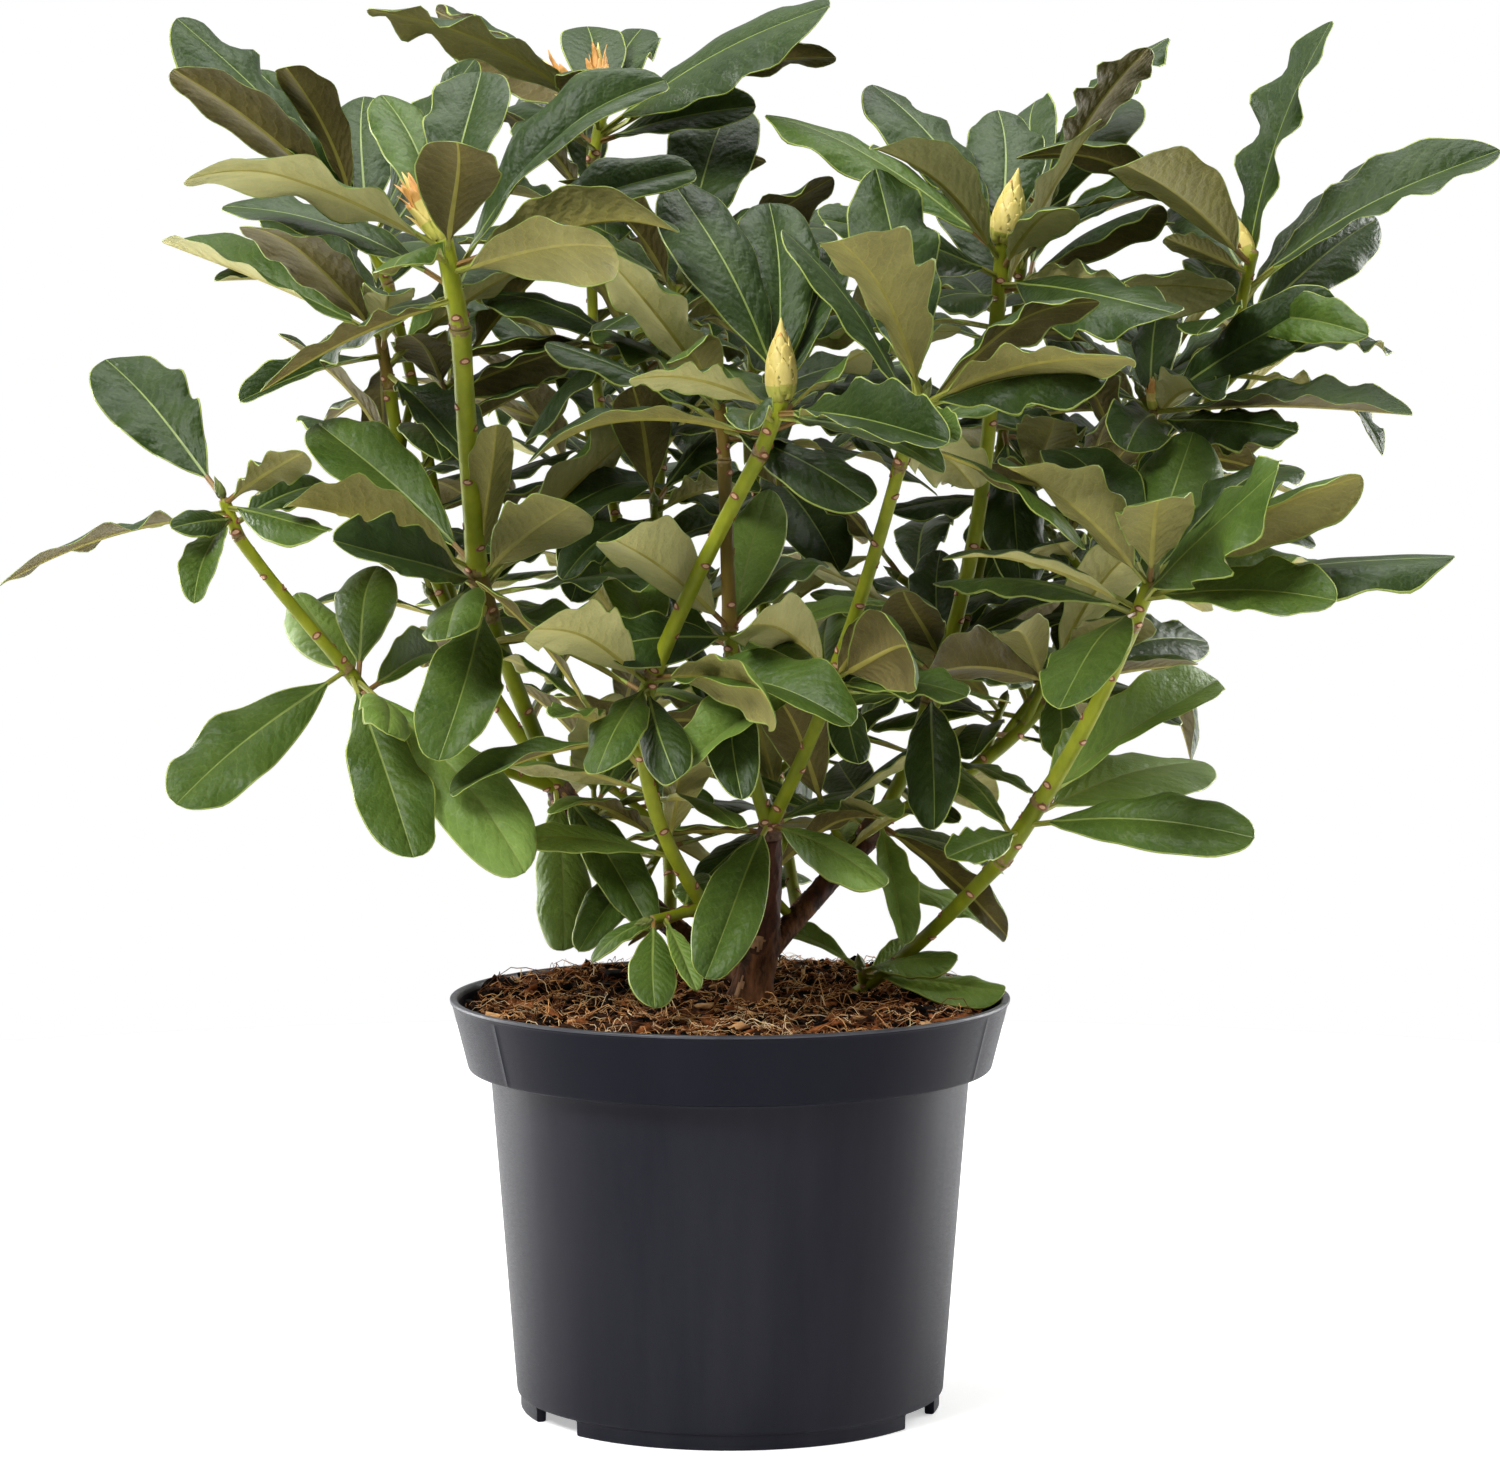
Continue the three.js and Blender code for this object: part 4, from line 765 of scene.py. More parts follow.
LEAVES = {  # count, usual length, rise of top and lowest leaves, tiers, and (heading, rise, length, roll)
    "leaves_middle_fork": (4, 70, (10, -30), 1, [(-110, -36, 92, 15), (-46, -16, 68, 35)]),
    "leaves_left_knot": (4, 80, (0, -40), 1, [(-84, -48, 80, 0), (-54, -38, 86, 20)]),
    "leaves_low_left_node": (7, 75, (45, -20), 1, [(-135, -29, 100, 42), (-65, -44, 96, 18),
        (-39, -39, 112, 32), (87, 35, 78, 0), (123, 33, 66, 20), (64, 10, 75, 30)]),
    "leaves_far_left": (7, 70, (50, -30), 1, [(135, 36, 94, 40), (-52, 21, 62, -20), (-45, -7, 62, 30),
        (-136, -12, 112, -12), (-102, -35, 56, 0), (-113, 1, 42, 55), (60, 13, 66, 25)]),
    "leaves_tall_left_node": (11, 90, (45, -5), 1, [(139, 32, 108, 38), (-142, 20, 95, -20),
        (-79, 50, 82, 0), (-62, 21, 92, -25), (44, 23, 114, 15), (-124, 13, 96, 55), (-97, -11, 80, -25),
        (39, 40, 104, -60)]),
    "leaves_tall_left_top": (13, 100, (60, -5), 1, [(78, 51, 88, 0), (117, 44, 88, 0), (-157, 20, 108, -20),
        (-83, 32, 80, 0), (-101, -2, 80, -25), (-28, 11, 104, -25), (-47, 6, 98, -35), (4, 24, 104, 30),
        (-7, 47, 114, 35)]),
    "leaves_outer_left": (11, 90, (50, -15), 1, [(160, 22, 108, 20), (-123, 31, 98, -5), (136, 42, 92, 20),
        (113, 39, 86, 0), (-83, 24, 66, -5), (-143, -15, 72, 20), (95, -36, 62, 25), (73, -4, 60, 25)]),
    "leaves_back_left": (10, 95, (55, -10), 1, [(-113, 44, 84, 0), (137, 45, 92, 20), (176, 48, 117, 30),
        (-142, 35, 113, -15), (95, 45, 92, 0), (-157, 50, 66, 55)]),
    "leaves_foot_left": (4, 45, (10, -40), 1, [(-88, -35, 50, 0), (-67, -36, 43, 0), (-145, -19, 42, 10)]),
    "leaves_front_node": (8, 75, (40, -20), 1, [(100, 30, 84, 0), (-59, -1, 100, -50), (-42, -3, 103, 25),
        (-121, 18, 86, -30), (-107, -20, 68, 5), (-78, -26, 58, 20)]),
    "leaves_front_top": (12, 95, (60, -15), 1, [(132, 53, 106, 15), (94, 53, 98, 0), (70, 43, 96, 0),
        (-150, 12, 66, -25), (-53, -5, 105, 30), (-35, -12, 79, 25), (-98, -2, 66, -20)]),
    "leaves_inner": (10, 90, (60, -10), 1, [(68, 56, 100, 0), (146, 23, 90, 20), (-66, 9, 84, 25),
        (113, 18, 80, -25)]),
    "leaves_crown": (10, 100, (55, -10), 1, [(-149, 21, 116, -15), (141, 28, 106, -55), (97, 38, 74, 0),
        (79, 29, 96, 0), (-92, 21, 70, -10), (-34, 23, 126, 45), (-6, 22, 106, -20), (-21, 11, 73, 45),
        (121, 16, 86, 35), (-115, 2, 72, 25)]),
    "leaves_middle_left_node": (8, 75, (40, -15), 1, [(-118, 23, 100, -35), (62, 22, 82, 5),
        (-62, -9, 66, 35), (-140, 0, 62, 60), (73, 48, 80, 0)]),
    "leaves_middle_left_top": (9, 85, (50, -10), 1, [(-124, 37, 100, 0), (-102, 21, 80, -30),
        (124, 22, 92, -25), (33, 17, 80, 20)]),
    "leaves_middle_right_node": (8, 75, (40, -15), 1, [(-145, -25, 82, 30), (-77, -42, 50, 0),
        (-117, 18, 78, -35), (-72, 11, 103, -60), (-68, 29, 54, -45)]),
    "leaves_middle_right_top": (10, 90, (55, -10), 1, [(-114, 36, 102, 0), (-47, 10, 108, -25),
        (-30, 11, 80, 40), (106, 61, 110, 0), (160, 55, 90, 10), (-77, -4, 62, 25)]),
    "leaves_right_knot": (5, 70, (10, -30), 1, [(-78, -42, 66, 0), (-42, -30, 82, -60), (102, 17, 70, 20)]),
    "leaves_tall_right_node": (9, 75, (45, -10), 1, [(-106, 27, 74, -15), (57, 14, 116, -25),
        (42, 24, 56, 10), (87, 41, 74, 0), (50, -2, 65, 45)]),
    "leaves_tall_right_top": (13, 95, (60, -15), 1, [(134, 42, 100, 20), (89, 43, 86, 0), (167, 32, 116, 25),
        (-128, 27, 96, -5), (-67, 24, 66, -5), (-140, 13, 98, 50), (-60, -5, 122, 35), (-42, 1, 68, -40),
        (-115, -1, 70, 25)]),
    "leaves_outer_right_node": (8, 70, (40, -20), 1, [(40, 5, 86, 48), (-66, 22, 74, -20), (74, 33, 64, 0),
        (-92, -29, 62, 0), (-127, 5, 96, -50)]),
    "leaves_outer_right_top": (9, 85, (50, -10), 1, [(-30, 30, 92, 75), (-29, 0, 114, 12),
        (-103, -10, 72, 35), (14, 30, 91, -40), (-49, 0, 75, 35)]),
    "leaves_upper_right": (10, 95, (65, -15), 1, [(-165, 26, 110, -20), (-121, 18, 121, -10),
        (-138, 16, 52, -35), (102, 27, 90, 5), (-7, 29, 119, 30), (-10, 73, 120, 30), (22, 46, 90, 10),
        (-60, -4, 84, 70), (-107, -2, 80, -25), (40, 30, 100, 55)]),
    "leaves_foot_right": (4, 48, (20, -10), 1, [(146, 16, 50, 15), (-36, 11, 48, 30), (-22, -3, 62, 20)]),
    "leaves_low_right_node": (6, 85, (40, -30), 1, [(63, 17, 78, 15), (39, 25, 112, 22), (45, 8, 110, 25),
        (-35, 1, 104, 45), (-124, -4, 54, 35), (121, 26, 68, 0)]),
    "leaves_far_right": (13, 90, (50, -15), 1, [(-92, 28, 84, 0), (-130, 28, 104, -10), (110, 34, 104, 0),
        (40, 34, 96, 0), (-36, 27, 106, -15), (-21, 8, 124, 14), (-46, 2, 96, 35), (27, 10, 86, 20),
        (-60, 32, 104, 65), (66, 40, 104, 0)]),
    "leaves_behind_right": (14, 95, (60, -20), 2, [(28, 49, 109, 0), (53, 41, 100, 0), (10, 20, 88, 25),
        (-78, 18, 70, 25)]),
    "leaves_rear_left": (14, 98, (55, -20), 2, []),
    "leaves_rear_middle": (14, 98, (60, -20), 2, []),
    "leaves_rear_right": (14, 95, (50, -20), 2, []),
}
GOLDEN_ANGLE = 137.5
TURNS = (0, 9, -9, 18, -18, 27, -27)
SHOWN_TURNS = (0, 0, 0, 4, -4, 4, -4, 8, -8, 8, -8)
HEADING_PLAY = 24
RISE_PLAY = 16
ROLL_PLAY = 70
OPEN_SIDE_DROP = 40
WHORL_SHARES = (0.94, 0.20)  # of the stem, from the first leaf to the last
LOW_WHORL_SHARES = (0.42, 0.12)
LOW_WHORL_FROM = 0.6
LEAF_SPACING = 27.0
LEAF_WIDTH = 0.36
LEAF_ARCH = 0.05
STALK_SHARE = 0.14
STALK_HALF = 1.15
MARGIN_WIDTH = 0.6
FIT_SHARES = np.linspace(0.2, 1, 13)
FIT_ACROSS = np.array([-1, -0.5, 0, 0.5, 1])
TRAIT_COUNT = 12
CROWN_FOOT = 390.0
REAR_FROM = 60
REAR_MIDDLE = 20
FRONT_MIDDLE = (-45, 48)


def noise(number):
    """A repeatable number from 0 to 1 for each whole number."""
    wave = math.sin(number * 127.1 + 311.7) * 43758.5453
    return wave - math.floor(wave)


def direction(heading, rise):
    """Unit vector with this heading from +X and this rise above level, in degrees."""
    h, r = math.radians(heading), math.radians(rise)
    return np.array([math.cos(r) * math.cos(h), math.cos(r) * math.sin(h), math.sin(r)])


def leaf_axes(heading, rise, roll):
    """The way a leaf points, its side and its upper direction. A roll turns the upper side
    about the leaf towards the front."""
    along = direction(heading, rise)
    above = direction(heading, rise + 90)
    angle = math.radians(roll * (-1 if math.cos(math.radians(heading)) < 0 else 1))
    above = above * math.cos(angle) + np.cross(along, above) * math.sin(angle)
    return np.stack([along, np.cross(along, above), above])


def blade_outline(lengths, traits, shares):
    """Half width (leaf, share, 1) of many leaves, the share along the blade, and how far it is a
    blade: the outline is b^p (1-b)^q over its greatest value, widest past the middle and with a
    blunt tip, and it is never narrower than the stalk."""
    b = between(shares[None, :, None], STALK_SHARE * 0.85, 1)
    p, q = 0.92, 0.44 + 0.20 * traits[:, 3, None, None]
    outline = b ** p * (1 - b) ** q / ((p / (p + q)) ** p * (q / (p + q)) ** q)
    width = LEAF_WIDTH * (0.88 + 0.3 * traits[:, 0, None, None])
    half = np.maximum(width * lengths[:, None, None] / 2 * outline, STALK_HALF * (1 - 0.75 * b))
    return half, b, np.clip(outline * 1.5, 0, 1)


def blade_surface(roots, axes, lengths, traits, shares, across):
    """The middle surface of many leaves at once, (leaf, share, across, xyz), and its upper
    direction. The midrib is an arch, half a sine along the leaf, that sways sideways and drops
    at its tip. The halves fold up from the midrib, roll down at the margin, and rise and fall
    in waves that grow as the square of the distance from the midrib, with a phase of their own
    on each side, and the outline scallops with them. The section turns evenly along the blade."""
    trait = [traits[:, i, None, None] for i in range(TRAIT_COUNT)]
    length = lengths[:, None, None]
    s = shares[None, :, None]
    half, b, blade = blade_outline(lengths, traits, shares)
    out = np.abs(across)
    left = across < 0
    fold = np.radians(-4 + 44 * trait[1] ** 1.4) * blade
    roll_down = (0.06 + 0.42 * trait[2] ** 1.3) * blade
    waves = 2.6 + 2.2 * trait[3]
    phase = np.where(left, trait[4], trait[5])
    old = np.clip((CROWN_FOOT - roots[:, 2, None, None]) / CROWN_FOOT, 0, 0.45)
    ruffle = (0.08 + 0.25 * trait[6] ** 1.3) * (1 - 1.15 * old) * np.sin(2 * np.pi * (waves * b + phase))
    ruffle = ruffle * (0.65 + 0.35 * np.cos(2 * np.pi * (0.9 * b + 3 * phase)))
    ruffle = ruffle * np.clip(8 * b * (1 - b), 0, 1)
    scallop = 1 + 0.32 * ruffle * out ** 2
    sideways = across * half * np.cos(fold) * (1 - 0.3 * roll_down * out ** 2) * scallop
    upward = half * (np.sin(fold) * out - roll_down * out ** 3 + ruffle * out ** 3)
    twist = np.radians(56 * (trait[7] - 0.5)) * (b - 0.3)
    sideways, upward = (sideways * np.cos(twist) - upward * np.sin(twist),
                        sideways * np.sin(twist) + upward * np.cos(twist))
    arch = LEAF_ARCH * (0.6 + 1.2 * trait[8]) * length * np.sin(np.pi * s)
    drop = 0.75 * trait[9] ** 4 * length * np.clip(b - 0.6, 0, 1) ** 2
    sway = 0.05 * (2 * trait[10] - 1) * length * np.sin(np.pi * s) * s
    axis = [axes[:, None, None, i] for i in range(3)]
    points = (roots[:, None, None] + axis[0] * (s * length)[..., None]
              + axis[1] * (sideways + sway)[..., None] + axis[2] * (upward + arch - drop)[..., None])
    above = axis[2] * np.cos(twist)[..., None] - axis[1] * np.sin(twist)[..., None]
    return points, above


def faces_of_strip(stations, columns):
    """Corner numbers of the quads of an open strip of stations by columns."""
    i, j = np.meshgrid(np.arange(stations - 1), np.arange(columns - 1), indexing="ij")
    first = i * columns + j
    return np.stack([first, first + 1, first + columns + 1, first + columns], 2).reshape(-1, 4)


fit_faces = faces_of_strip(len(FIT_SHARES), len(FIT_ACROSS)).tolist()
obstacles = []
obstacle_boxes = np.zeros((4000, 2, 3))


def add_obstacle(points, faces, owner):
    """Records something that leaves must stay clear of: its search tree, box and owner."""
    obstacle_boxes[len(obstacles)] = points.min(0), points.max(0)
    obstacles.append((BVHTree.FromPolygons(points.tolist(), faces), owner))


def is_blocked(points, faces, owner):
    """Whether a leaf's surface cuts through anything recorded. A stem doesn't block its own."""
    low, high = points.min(0), points.max(0)
    boxes = obstacle_boxes[:len(obstacles)]
    near = np.nonzero(((boxes[:, 0] < high) & (boxes[:, 1] > low)).all(1))[0]
    if len(near) == 0:
        return False
    tree = BVHTree.FromPolygons(points.tolist(), faces)
    return any(obstacles[i][1] != owner and tree.overlap(obstacles[i][0]) for i in near)


def add_stem_obstacle(name):
    """A stem as an eight-sided tube for the clash test."""
    share = np.linspace(0, 1, 8)
    path = limbs[name]["at"](share)
    points, poles, quads = tube_surface(path, np.repeat(limb_radius(name, share)[:, None] + 0.4, 8, 1))
    add_obstacle(points, poles.tolist() + quads.tolist(), name)


leaf_rng = np.random.default_rng(7)
placed = []


def fit_leaf(owner, root, leaf, must_show=False):
    """Fits one leaf: turned a little where something is in the way, or left out. A leaf that
    shapes the crown's outline tries other bends instead, and stands in any case."""
    heading, rise, length, roll = leaf
    turns = SHOWN_TURNS if must_show else TURNS
    count = len(turns)
    traits = leaf_rng.random((count if must_show else 1, TRAIT_COUNT)) + np.zeros((count, 1))
    axes = np.stack([leaf_axes(heading + turn, rise, roll) for turn in turns])
    surfaces = blade_surface(np.repeat(root[None], count, 0), axes, np.full(count, float(length)), traits,
                             FIT_SHARES, FIT_ACROSS[None, None])[0].reshape(count, -1, 3)
    free = next((i for i in range(count) if not is_blocked(surfaces[i], fit_faces, owner)), None)
    if free is None and not must_show:
        return False
    free = free or 0
    add_obstacle(surfaces[free], fit_faces, ("leaf", len(placed)))
    placed.append((owner, root, axes[free], float(length), traits[free]))
    return True


for name in limbs:
    add_stem_obstacle(name)
directions = {name: [] for name in LEAVES}


def stem_share(name, order):
    """Where on its stem the leaf of this order stands: the first near the tip and each further
    down, and on a stem with two tiers the last four in ten in a whorl of their own, low down."""
    count, tiers = LEAVES[name][0], LEAVES[name][3]
    done = order / count
    low = tiers == 2 and done >= LOW_WHORL_FROM
    first, last = LOW_WHORL_SHARES if low else WHORL_SHARES
    return first + (last - first) * done


for name, (*_, shown) in LEAVES.items():
    for order, leaf in enumerate(shown):
        fit_leaf(name, limbs[name]["at"](stem_share(name, order)), leaf, must_show=True)
        directions[name].append(direction(*leaf[:2]))
nearest = math.cos(math.radians(LEAF_SPACING))
for seed, (name, (count, size, rises, *_)) in enumerate(LEAVES.items(), start=1):
    for i in range(count):
        share = i / (count - 1)
        heading = seed * 47 + i * GOLDEN_ANGLE + HEADING_PLAY * (noise(seed * 31 + i) - 0.5)
        drop = OPEN_SIDE_DROP * max(0, -math.sin(math.radians(heading)))
        rise = rises[0] + (rises[1] - rises[0]) * share - drop + RISE_PLAY * (noise(seed * 57 + i) - 0.5)
        length = size * (0.82 + 0.16 * share + 0.14 * noise(seed * 83 + i))
        roll = ROLL_PLAY * (noise(seed * 91 + i) - 0.5)
        way = direction(heading, rise)
        order = len(directions[name])
        if order < count and all(way @ other <= nearest for other in directions[name]):
            if fit_leaf(name, limbs[name]["at"](stem_share(name, order)), (heading, rise, length, roll)):
                directions[name].append(way)

# Finer twigs: on the boughs inside and behind, short side twigs stand at golden-angle turns,
# each with a small whorl of its own. A twig that meets a limb or bears no leaf is skipped.
TWIG_BOUGHS = ["bough_rear_left", "bough_rear_middle", "bough_rear_right", "bough_behind_right",
               "bough_outer_left", "bough_back_left", "bough_inner", "bough_crown", "bough_outer_right",
               "bough_outer_right_top", "bough_upper_right", "bough_left", "bough_right", "bough_front",
               "leaves_rear_left", "leaves_rear_middle", "leaves_rear_right", "leaves_behind_right"]
TWIG_SHARES = (0.35, 0.6, 0.85)
TWIG_LENGTH = 30.0
TWIG_RISE = 34.0
TWIG_RISE_PLAY = 22.0
TWIG_RADII = (1.9, 1.7)
TWIG_LEAVES = 6
TWIG_LEAF = 72.0
TWIG_LEAF_RISE = (48, -13)  # of the first leaf, and the change from leaf to leaf
TWIG_TRIES = 8


def fit_side_twig(name, bough, share, number, attempt):
    """Tries one side twig: its stem stands clear of everything but its bough, and at least two
    leaves fit on it. Otherwise all of it is taken back."""
    heading = number * 47 + attempt * GOLDEN_ANGLE
    way = direction(heading, TWIG_RISE + TWIG_RISE_PLAY * noise(number + attempt))
    run = TWIG_LENGTH * (0.7 + 0.6 * noise(number * 3 + attempt))
    start = limbs[bough]["at"](share)
    tip = start + way * run
    probe, poles, quads = tube_surface(np.linspace(start + way * 6, tip, 4), np.full((4, 6), 2.0))
    if is_blocked(probe, poles.tolist() + quads.tolist(), bough):
        return
    limbs[name] = {"length": float(run), "radii": TWIG_RADII,
                   "at": lambda s: curve_points(start, tip, (0, 0, 2), np.atleast_1d(s))[0].squeeze()}
    leaves_before, obstacles_before = len(placed), len(obstacles)
    for i in range(TWIG_LEAVES):
        size = TWIG_LEAF * (0.85 + 0.3 * noise(number * 11 + i))
        leaf_rise = TWIG_LEAF_RISE[0] + TWIG_LEAF_RISE[1] * i
        leaf = (heading + i * GOLDEN_ANGLE, leaf_rise, size, 50 * (noise(number * 13 + i) - 0.5))
        fit_leaf(name, limbs[name]["at"](0.94 - 0.1 * i), leaf)
    if len(placed) - leaves_before >= 2:
        add_stem_obstacle(name)
        side_twigs.append(name)
    else:
        del placed[leaves_before:], obstacles[obstacles_before:], limbs[name]


side_twigs = []
for seed, bough in enumerate(TWIG_BOUGHS):
    for step, share in enumerate(TWIG_SHARES):
        twig = f"side_twig_{seed}_{step}"
        for attempt in range(TWIG_TRIES):
            if twig not in limbs:
                fit_side_twig(twig, bough, share, 40 * seed + 7 * step + 900, attempt)

SHARES = np.concatenate([[0, 0.05, 0.1, 0.13], np.linspace(0.16, 0.935, 26), [0.96, 0.98, 0.993, 1.0]])
BLADE_THICKNESS = 0.55
RIB_TOP_WIDTH = (1.15, -0.80)  # at the root, and how much it changes by the tip
RIB_UNDER_WIDTH = (2.3, -1.6)
RIB_UNDER_DEPTH = (1.15, -0.95)
RIB_GROOVE = 0.28
LEAF_SHINE = 0.26
BLADE_SWELL = 0.0005
BLADE_GRAIN = 0.00005
LEAF_SKINS = [  # name, two colours, colour of the veins, roughness, strength of veins and rib, relief
    ("leaf_top_deep", ((0.011, 0.028, 0.004), (0.033, 0.062, 0.009)), (0.08, 0.13, 0.03),
     (0.36, 0.50), 0.30, 0.06, 0.00010),
    ("leaf_top_mid", ((0.030, 0.066, 0.008), (0.078, 0.132, 0.018)), (0.14, 0.21, 0.04),
     (0.36, 0.50), 0.32, 0.08, 0.00010),
    ("leaf_top_fresh", ((0.100, 0.178, 0.026), (0.185, 0.285, 0.056)), (0.28, 0.39, 0.09),
     (0.40, 0.54), 0.34, 0.10, 0.00010),
    ("leaf_under_brown", ((0.072, 0.058, 0.018), (0.176, 0.145, 0.047)), (0.28, 0.22, 0.05),
     (0.56, 0.70), 0.42, 0.25, -0.00014),
    ("leaf_under_olive", ((0.168, 0.152, 0.046), (0.345, 0.318, 0.102)), (0.44, 0.38, 0.09),
     (0.56, 0.70), 0.45, 0.28, -0.00014),
    ("leaf_under_pale", ((0.350, 0.336, 0.128), (0.570, 0.540, 0.240)), (0.62, 0.54, 0.17),
     (0.56, 0.70), 0.45, 0.28, -0.00014),
]
RIB_AND_STALK = [  # name, roughness, two colours, scale of the mottle
    ("midrib_top", 0.45, ((0.14, 0.20, 0.036), (0.24, 0.31, 0.065)), 120.0),
    ("midrib_under", 0.55, ((0.30, 0.26, 0.040), (0.46, 0.40, 0.080)), 120.0),
    ("leaf_margin", 0.45, ((0.26, 0.34, 0.050), (0.38, 0.46, 0.090)), 120.0),
    ("stalk_green", 0.45, ((0.20, 0.22, 0.026), (0.34, 0.35, 0.055)), 110.0),
    ("stalk_rust", 0.50, ((0.19, 0.095, 0.022), (0.32, 0.20, 0.050)), 110.0),
]
MID_SHADE, FRESH_SHADE = 0.36, 0.98
OLIVE_TAN, PALE_TAN = 0.34, 0.68
RUSTY_STALK = 0.62
TOP_DEEP, UNDER_BROWN, MIDRIB_TOP, MIDRIB_UNDER, LEAF_MARGIN, STALK_GREEN = 0, 3, 6, 7, 8, 9
MARGIN, TOP, RIB_TOP, UNDER, RIB_UNDER = range(5)
RING_PARTS = np.array([MARGIN, TOP, TOP, TOP, RIB_TOP, RIB_TOP, TOP, TOP, TOP, MARGIN,
                       MARGIN, UNDER, UNDER, UNDER, RIB_UNDER, RIB_UNDER, UNDER, UNDER, UNDER, MARGIN])
RING = len(RING_PARTS)


def leaf_bodies(rows):
    """Solid leaves from their rows, all at once: a closed ring of 20 points at each station, 11
    over the top from margin to margin and 9 back underneath. The two faces stand off the middle
    surface by a half ellipse of the thickness, which is the stalk's radius at the root, and
    their quads start at corners that match, so that both are split along the same diagonal. The
    midrib is a shallow groove above and a ridge below that fades towards the tip."""
    roots, axes, lengths, traits = (np.array([row[i] for row in rows]) for i in range(1, 5))
    half, b, _ = blade_outline(lengths, traits, SHARES)
    edge = np.clip(1 - MARGIN_WIDTH / half, 0.6, 0.985)
    rib_top = np.clip((RIB_TOP_WIDTH[0] + RIB_TOP_WIDTH[1] * b) / 2 / half, 0, 0.3)
    rib_under = np.clip((RIB_UNDER_WIDTH[0] + RIB_UNDER_WIDTH[1] * b) / 2 / half, 0, 0.4)
    one = np.ones_like(half)
    over = [one, edge, 0.74 * one, 0.44 * one, rib_top]
    under = [edge, 0.74 * one, 0.44 * one, rib_under]
    across = np.concatenate([-column for column in over] + [0 * one] + over[::-1] + under + [0 * one]
                            + [-column for column in under[::-1]], 2)
    points, above = blade_surface(roots, axes, lengths, traits, SHARES, across)
    flat = between(b, 0, 0.1)
    thickness = STALK_HALF + (BLADE_THICKNESS / 2 - STALK_HALF) * flat * flat * (3 - 2 * flat)
    face = np.where(np.arange(RING) <= 10, 1.0, -1.0)
    stand_off = face * thickness * np.sqrt(np.clip(1 - across ** 2, 0, 1))
    stand_off[..., 5] -= (RIB_GROOVE * flat)[..., 0]
    stand_off[..., 15] -= ((RIB_UNDER_DEPTH[0] + RIB_UNDER_DEPTH[1] * b) * flat)[..., 0]
    points = points + above * stand_off[..., None]
    count, stations = len(rows), len(SHARES)
    quads = ring_quads(stations, RING).reshape(-1, RING, 4)
    quads[:, 10:] = np.roll(quads[:, 10:], -1, 2)
    k = np.arange(RING)
    caps = np.stack([k[::-1], RING * (stations - 1) + k])
    top_kind, under_kind, stalk_kind = leaf_kinds(roots, traits)
    parts = [0 * top_kind + LEAF_MARGIN, top_kind, 0 * top_kind + MIDRIB_TOP, under_kind,
             0 * top_kind + MIDRIB_UNDER]
    slots = np.repeat(np.stack(parts, 1)[:, None, RING_PARTS], stations - 1, 1)
    slots[:, SHARES[:-1] < 0.12] = stalk_kind[:, None, None]
    cap_slots = np.stack([stalk_kind, parts[0]], 1)
    uv = np.stack([0.5 + 0.5 * across, np.broadcast_to(SHARES[None, :, None], across.shape)], -1)
    faces = [(repeated(quads.reshape(-1, 4), RING * stations, count), slots.ravel()),
             (repeated(caps, RING * stations, count), cap_slots.ravel())]
    return points.reshape(-1, 3), faces, uv.reshape(-1, 2)


def leaf_kinds(roots, traits):
    """Which greens a leaf has. The greens run fresher towards the low leaves and deeper in the
    crown. Painted light makes the low leaves on the open left side fresher still, and painted
    shade makes those behind deeper. The undersides are brown, olive or pale, and browner behind
    by painted shade, and one stalk in three is rusty."""
    x, y, z = roots.T
    # Painted shade: leaves at the back get deeper greens and browner undersides. Painted light: low leaves at
    # the open left get fresher greens.
    behind = between(y, -10, 70)
    painted_light_left = between(x, -45, -80) * between(z, 340, 280)
    shade = traits[:, 11] + 0.7 * np.clip((330 - z) / 150, -0.35, 1) - 0.5 * behind + 0.6 * painted_light_left
    tan = traits[:, 5] - 0.2 * behind
    top_kind = TOP_DEEP + (shade > MID_SHADE) + (shade > FRESH_SHADE)
    under_kind = UNDER_BROWN + (tan > OLIVE_TAN) + (tan > PALE_TAN)
    return top_kind, under_kind, STALK_GREEN + (traits[:, 4] > RUSTY_STALK)


# Leaf veins, on the leaf's own map of across (0 to 1) and along: side veins that leave the
# midrib forwards, alternate left and right, with a fine net between them. The height swells
# between the veins and is grooved along them. Rib fades out from the midrib to either side.
veins, given = open_group("leaf_veins", Pairs=13.0, Slant=2.4, Net=0.4)
leaf_map = add_node(veins, "UVMap", uv_map="UVMap")[0]
across, along, _ = add_node(veins, "SeparateXYZ", {0: leaf_map})
side = maths(veins, "MULTIPLY_ADD", across, 2.0, -1.0)
outwards = maths(veins, "ABSOLUTE", side)
shift = maths(veins, "MULTIPLY", maths(veins, "GREATER_THAN", side, 0.0), 0.5)
bend = add_node(veins, "TexNoise", {"Vector": leaf_map, "Scale": 9.0, "Detail": 2.0})[0]
forwards = maths(veins, "MULTIPLY_ADD", along, given["Pairs"], maths(veins, "MULTIPLY", bend, 1.1))
run = maths(veins, "SUBTRACT", forwards, maths(veins, "MULTIPLY_ADD", outwards, given["Slant"], shift))
wave = maths(veins, "PINGPONG", run, 0.5)
line = ramp(veins, wave, 0.0, 0.075, 1.0, 0.0, "SMOOTHSTEP")
net_spot = add_node(veins, "Mapping", {"Vector": leaf_map, "Scale": (15, 44, 1)})[0]
cells = add_node(veins, "TexVoronoi", {"Vector": net_spot, "Scale": 1.0}, feature="DISTANCE_TO_EDGE")[0]
net = maths(veins, "MULTIPLY", ramp(veins, cells, 0.0, 0.14, 1.0, 0.0, "SMOOTHSTEP"), given["Net"])
vein = maths(veins, "MAXIMUM", line, net)
swelling = ramp(veins, wave, 0.0, 0.5, 0.0, 1.6, "SMOOTHSTEP")
